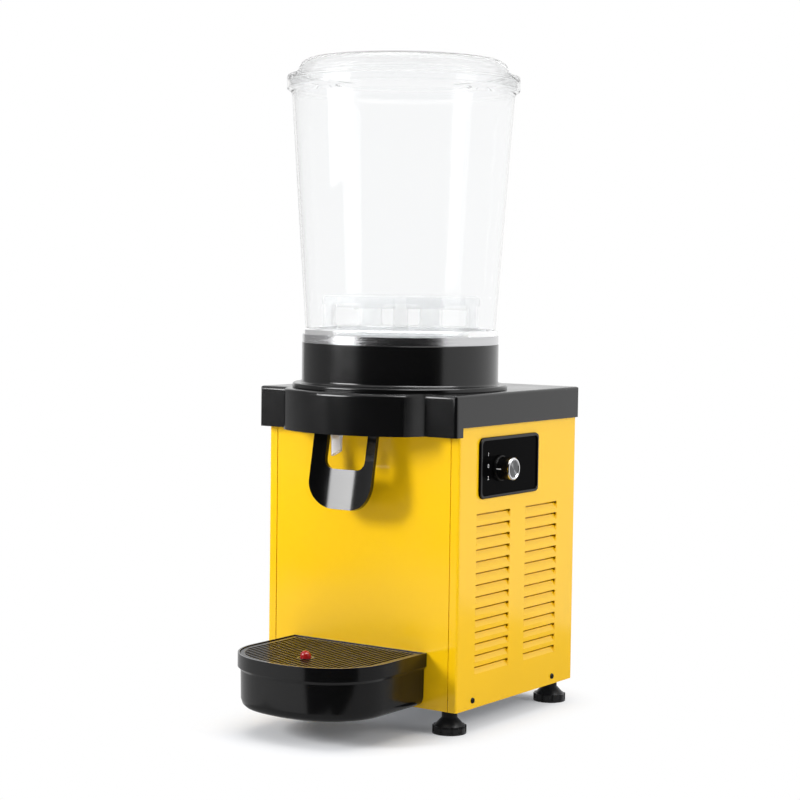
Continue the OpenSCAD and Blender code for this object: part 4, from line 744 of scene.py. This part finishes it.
cap_low, cap_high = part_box("knob_cap")
cap_seat = Vector((cap_low.x, middle("knob_cap").y, middle("knob_cap").z))
CAP_R = (cap_high.z - cap_low.z) / 2 / MM
CAP_T = (cap_high.x - cap_low.x) / MM
ring_corners = [
    (CAP_R - RING_BORE, 0, 0), (CAP_R, 0, 0.2), (CAP_R, CAP_T - RING_EDGE, 0.4),
    (CAP_R - RING_EDGE, CAP_T, 0.4), (CAP_R - RING_LAND, CAP_T, 0.3),
    (CAP_R - RING_SLOPE, CAP_T - RING_EDGE, 0.2), (CAP_R - RING_BORE, CAP_T - RING_EDGE, 0),
]
ring = turn_form("knob_cap_ring", closed(ring_corners), Vector(), steps=CAP_STEPS)
settle(lay_on_side(ring, cap_seat), "knob_cap")

disc_r, disc_face = CAP_R - DISC_INSET, CAP_T - DISC_SINK
groove_step = (disc_r - GROOVE_MARGIN) / GROOVES
disc_corners = [(0, disc_face, 0)]
for k in range(1, GROOVES):
    groove_r = k * groove_step
    disc_corners += [(groove_r - GROOVE_HALF, disc_face, 0), (groove_r, disc_face - GROOVE_DEEP, 0),
                     (groove_r + GROOVE_HALF, disc_face, 0)]
disc_corners += [(disc_r, disc_face, 0), (disc_r, DISC_BACK, 0), (0, DISC_BACK, 0)]
disc = turn_form("knob_cap_disc", rounded(disc_corners), Vector(), steps=CAP_STEPS)
settle(lay_on_side(disc, cap_seat), "knob_cap", satin_disc, instead=False)

# %% [markdown]
# The panel screws are one pan head with a cross recess. It is modelled once, standing up at the origin.
# Two crossed bars cut the recess.

# %% Panel screw
HEAD_R, HEAD_H, SHANK_R, SHANK_L = 3.0, 1.6, 2.0, 6.0
SHANK_TIP, SCREW_STEPS = 0.6, 32
RECESS_SIZE, RECESS_LIFT = (3.2, 0.7, 2), 0.1
head_corners = [
    (0, HEAD_H, 0), (HEAD_R - 0.5, HEAD_H, 0.5), (HEAD_R, HEAD_H - 1, 0.4), (HEAD_R, 0, 0), (SHANK_R, 0, 0),
    (SHANK_R, -SHANK_L + SHANK_TIP, 0), (SHANK_R - SHANK_TIP, -SHANK_L, 0), (0, -SHANK_L, 0),
]
screw = turn_form("panel_screw", rounded(head_corners), Vector(), steps=SCREW_STEPS)
bpy.ops.object.select_all(action="DESELECT")
bpy.ops.mesh.primitive_cube_add(size=1)
cutter = bpy.context.object
bpy.ops.object.mode_set(mode="EDIT")
bpy.ops.mesh.select_all(action="SELECT")
bpy.ops.transform.resize(value=tuple(length * MM for length in RECESS_SIZE))
bpy.ops.mesh.duplicate()
bpy.ops.transform.rotate(value=math.radians(90), orient_axis="Z", center_override=(0, 0, 0))
bpy.ops.mesh.select_all(action="SELECT")
bpy.ops.transform.translate(value=(0, 0, (HEAD_H + RECESS_LIFT) * MM))
bpy.ops.object.mode_set(mode="OBJECT")
apply_modifier(screw, "BOOLEAN", operation="DIFFERENCE", object=cutter, solver="EXACT", use_self=True)
only(cutter)
bpy.ops.object.delete()
print(screw.name, "faces:", len(screw.data.polygons))

# %% [markdown]
# The solids of the screws say where the copies go: each lies along X in a side panel or along Y in the
# rear panel, with its head outside.

# %% Screws in their places
only(nodes["panel_screws"])
bpy.ops.object.duplicate()
bpy.ops.object.mode_set(mode="EDIT")
bpy.ops.mesh.select_all(action="SELECT")
bpy.ops.mesh.remove_doubles(threshold=MERGE_GAP)
bpy.ops.mesh.separate(type="LOOSE")
bpy.ops.object.mode_set(mode="OBJECT")
solids = list(bpy.context.selected_objects)
copies = []
for solid in solids:
    corners = [solid.matrix_world @ v.co for v in solid.data.vertices]
    low = Vector([min(c[i] for c in corners) for i in range(3)])
    high = Vector([max(c[i] for c in corners) for i in range(3)])
    heart = (low + high) / 2
    outward = Vector((0, 1, 0))
    if high.x - low.x > high.y - low.y:
        outward = Vector((math.copysign(1, heart.x - cabinet_origin.x), 0, 0))
    only(screw)
    bpy.ops.object.duplicate()
    copy = bpy.context.object
    copy.rotation_euler = outward.to_track_quat("Z", "Y").to_euler()
    copy.location = heart + outward * (SHANK_L - HEAD_H) / 2 * MM
    bpy.ops.object.transform_apply(location=True, rotation=True, scale=True)
    copies.append(copy)
bpy.ops.object.select_all(action="DESELECT")
for piece in solids + [screw]:
    piece.select_set(True)
bpy.ops.object.delete()
screw_set = join(copies)
screw_set.name = "panel_screw_set"
settle(screw_set, "panel_screws")

# %% [markdown]
# Each louvre's flap ends in a drip channel behind the sheet: a shelf that closes the lower part of the
# slot, a wall behind it, and at each end of the flap a gusset. From outside one sees a thin brown line,
# which is the wall in the shade, and a dark point above the gusset. One channel is modelled, and arrays
# set it in all the rows and both columns of a side.

# %% Louvre channels
LOUVRE_ROWS, LOUVRE_PITCH, LOUVRE_DROP = 14, 12, 90
COLUMNS, COLUMN_Y, COLUMN_STEP = 2, 65.5, 95.5
STRIP_EDGE = 0.2
SHELF_SIZE, SHELF_DEPTH, SHELF_RISE = (5.0, 63.0, 1.1), 4.9, -1.35
WALL_SIZE, WALL_DEPTH, WALL_RISE = (1.0, 84.0, 8.0), 6.9, 0.0
GUSSET_SIZE, GUSSET_DEPTH, GUSSET_RISE, GUSSET_REACH = (2.8, 2.4, 4.8), 1.8, -4.0, 32.4
CHANNEL_FORMS = [
    (SHELF_SIZE, SHELF_DEPTH, 0, SHELF_RISE), (WALL_SIZE, WALL_DEPTH, 0, WALL_RISE),
    (GUSSET_SIZE, GUSSET_DEPTH, -GUSSET_REACH, GUSSET_RISE),
    (GUSSET_SIZE, GUSSET_DEPTH, GUSSET_REACH, GUSSET_RISE),
]
sheet_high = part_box("right_side_panel")[1]
FACE_HALF = (sheet_high.x - cabinet_origin.x) / MM
FIRST_SLOT = sheet_high.z / MM - LOUVRE_DROP


def strip(name, size, place, edge=STRIP_EDGE):
    """A small bar with its edges broken, at a place of the frame."""
    bpy.ops.object.select_all(action="DESELECT")
    bpy.ops.mesh.primitive_cube_add(size=1)
    piece = bpy.context.object
    piece.name = name
    bpy.ops.object.mode_set(mode="EDIT")
    bpy.ops.mesh.select_all(action="SELECT")
    bpy.ops.transform.resize(value=tuple(length * MM for length in size))
    bpy.ops.mesh.bevel(offset=edge * MM, segments=2, affect="EDGES")
    bpy.ops.object.mode_set(mode="OBJECT")
    piece.location = place
    bpy.ops.object.transform_apply(location=True, rotation=True, scale=True)
    return piece


def louvre_channels(side, sign):
    """The channels of all the louvres of one side, on the left (-1) or the right (1)."""
    name = "louvre_channels_" + side
    piece = join([strip(name, size, at(sign * (FACE_HALF - depth), COLUMN_Y + along, FIRST_SLOT + rise))
                  for size, depth, along, rise in CHANNEL_FORMS])
    for count, step in ((LOUVRE_ROWS, (0, 0, -LOUVRE_PITCH * MM)), (COLUMNS, (0, COLUMN_STEP * MM, 0))):
        apply_modifier(piece, "ARRAY", count=count, use_relative_offset=False, use_constant_offset=True,
                       constant_offset_displace=step)
    settle(piece, side + "_side_panel", instead=False)


louvre_channels("right", 1)
louvre_channels("left", -1)

# %% [markdown]
# The dial is printed on the control panel: three figures beside the knob, and a white line on the
# knob's flank that points at them. The figures are text that becomes mesh and is laid on the face.

# %% Dial figures and pointer
knob_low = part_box("control_knob")[0]
KNOB_GAP = 0.4
FACE_X = knob_low.x / MM - cabinet_origin.x / MM - KNOB_GAP
FIGURE_Y, FIGURE_TALL, FIGURE_PROUD, FIGURE_THICK = 51.5, 5.5, 0.05, 0.04
FIGURES = {"1": 282.6, "0": 270.7, "2": 258.4}
POINTER_SIZE, POINTER_EDGE = (8, 0.9, 1.3), 0.25
POINTER_OUT, POINTER_PROUD = 4.6, 0.05


def dial_figure(figure, z):
    """One printed figure on the control panel's face."""
    bpy.ops.object.select_all(action="DESELECT")
    bpy.ops.object.text_add()
    piece = bpy.context.object
    piece.name = "dial_figure_" + figure
    piece.data.body = figure
    piece.data.size = FIGURE_TALL * MM
    piece.data.align_x = "CENTER"
    piece.data.align_y = "CENTER"
    piece.data.extrude = FIGURE_THICK * MM
    bpy.ops.object.convert(target="MESH")
    piece.rotation_euler = (math.radians(90), 0, math.radians(90))
    piece.location = at(FACE_X + FIGURE_PROUD, FIGURE_Y, z)
    bpy.ops.object.transform_apply(location=True, rotation=True, scale=True)
    settle(piece, "control_panel", white_print, instead=False)


for figure, z in FIGURES.items():
    dial_figure(figure, z)

knob_heart = middle("control_knob")
pointer_y = knob_heart.y - (CAP_R + POINTER_PROUD) * MM
pointer_place = Vector((knob_low.x + POINTER_OUT * MM, pointer_y, knob_heart.z))
pointer = strip("knob_pointer", POINTER_SIZE, pointer_place, POINTER_EDGE)
settle(pointer, "control_knob", white_print, instead=False)
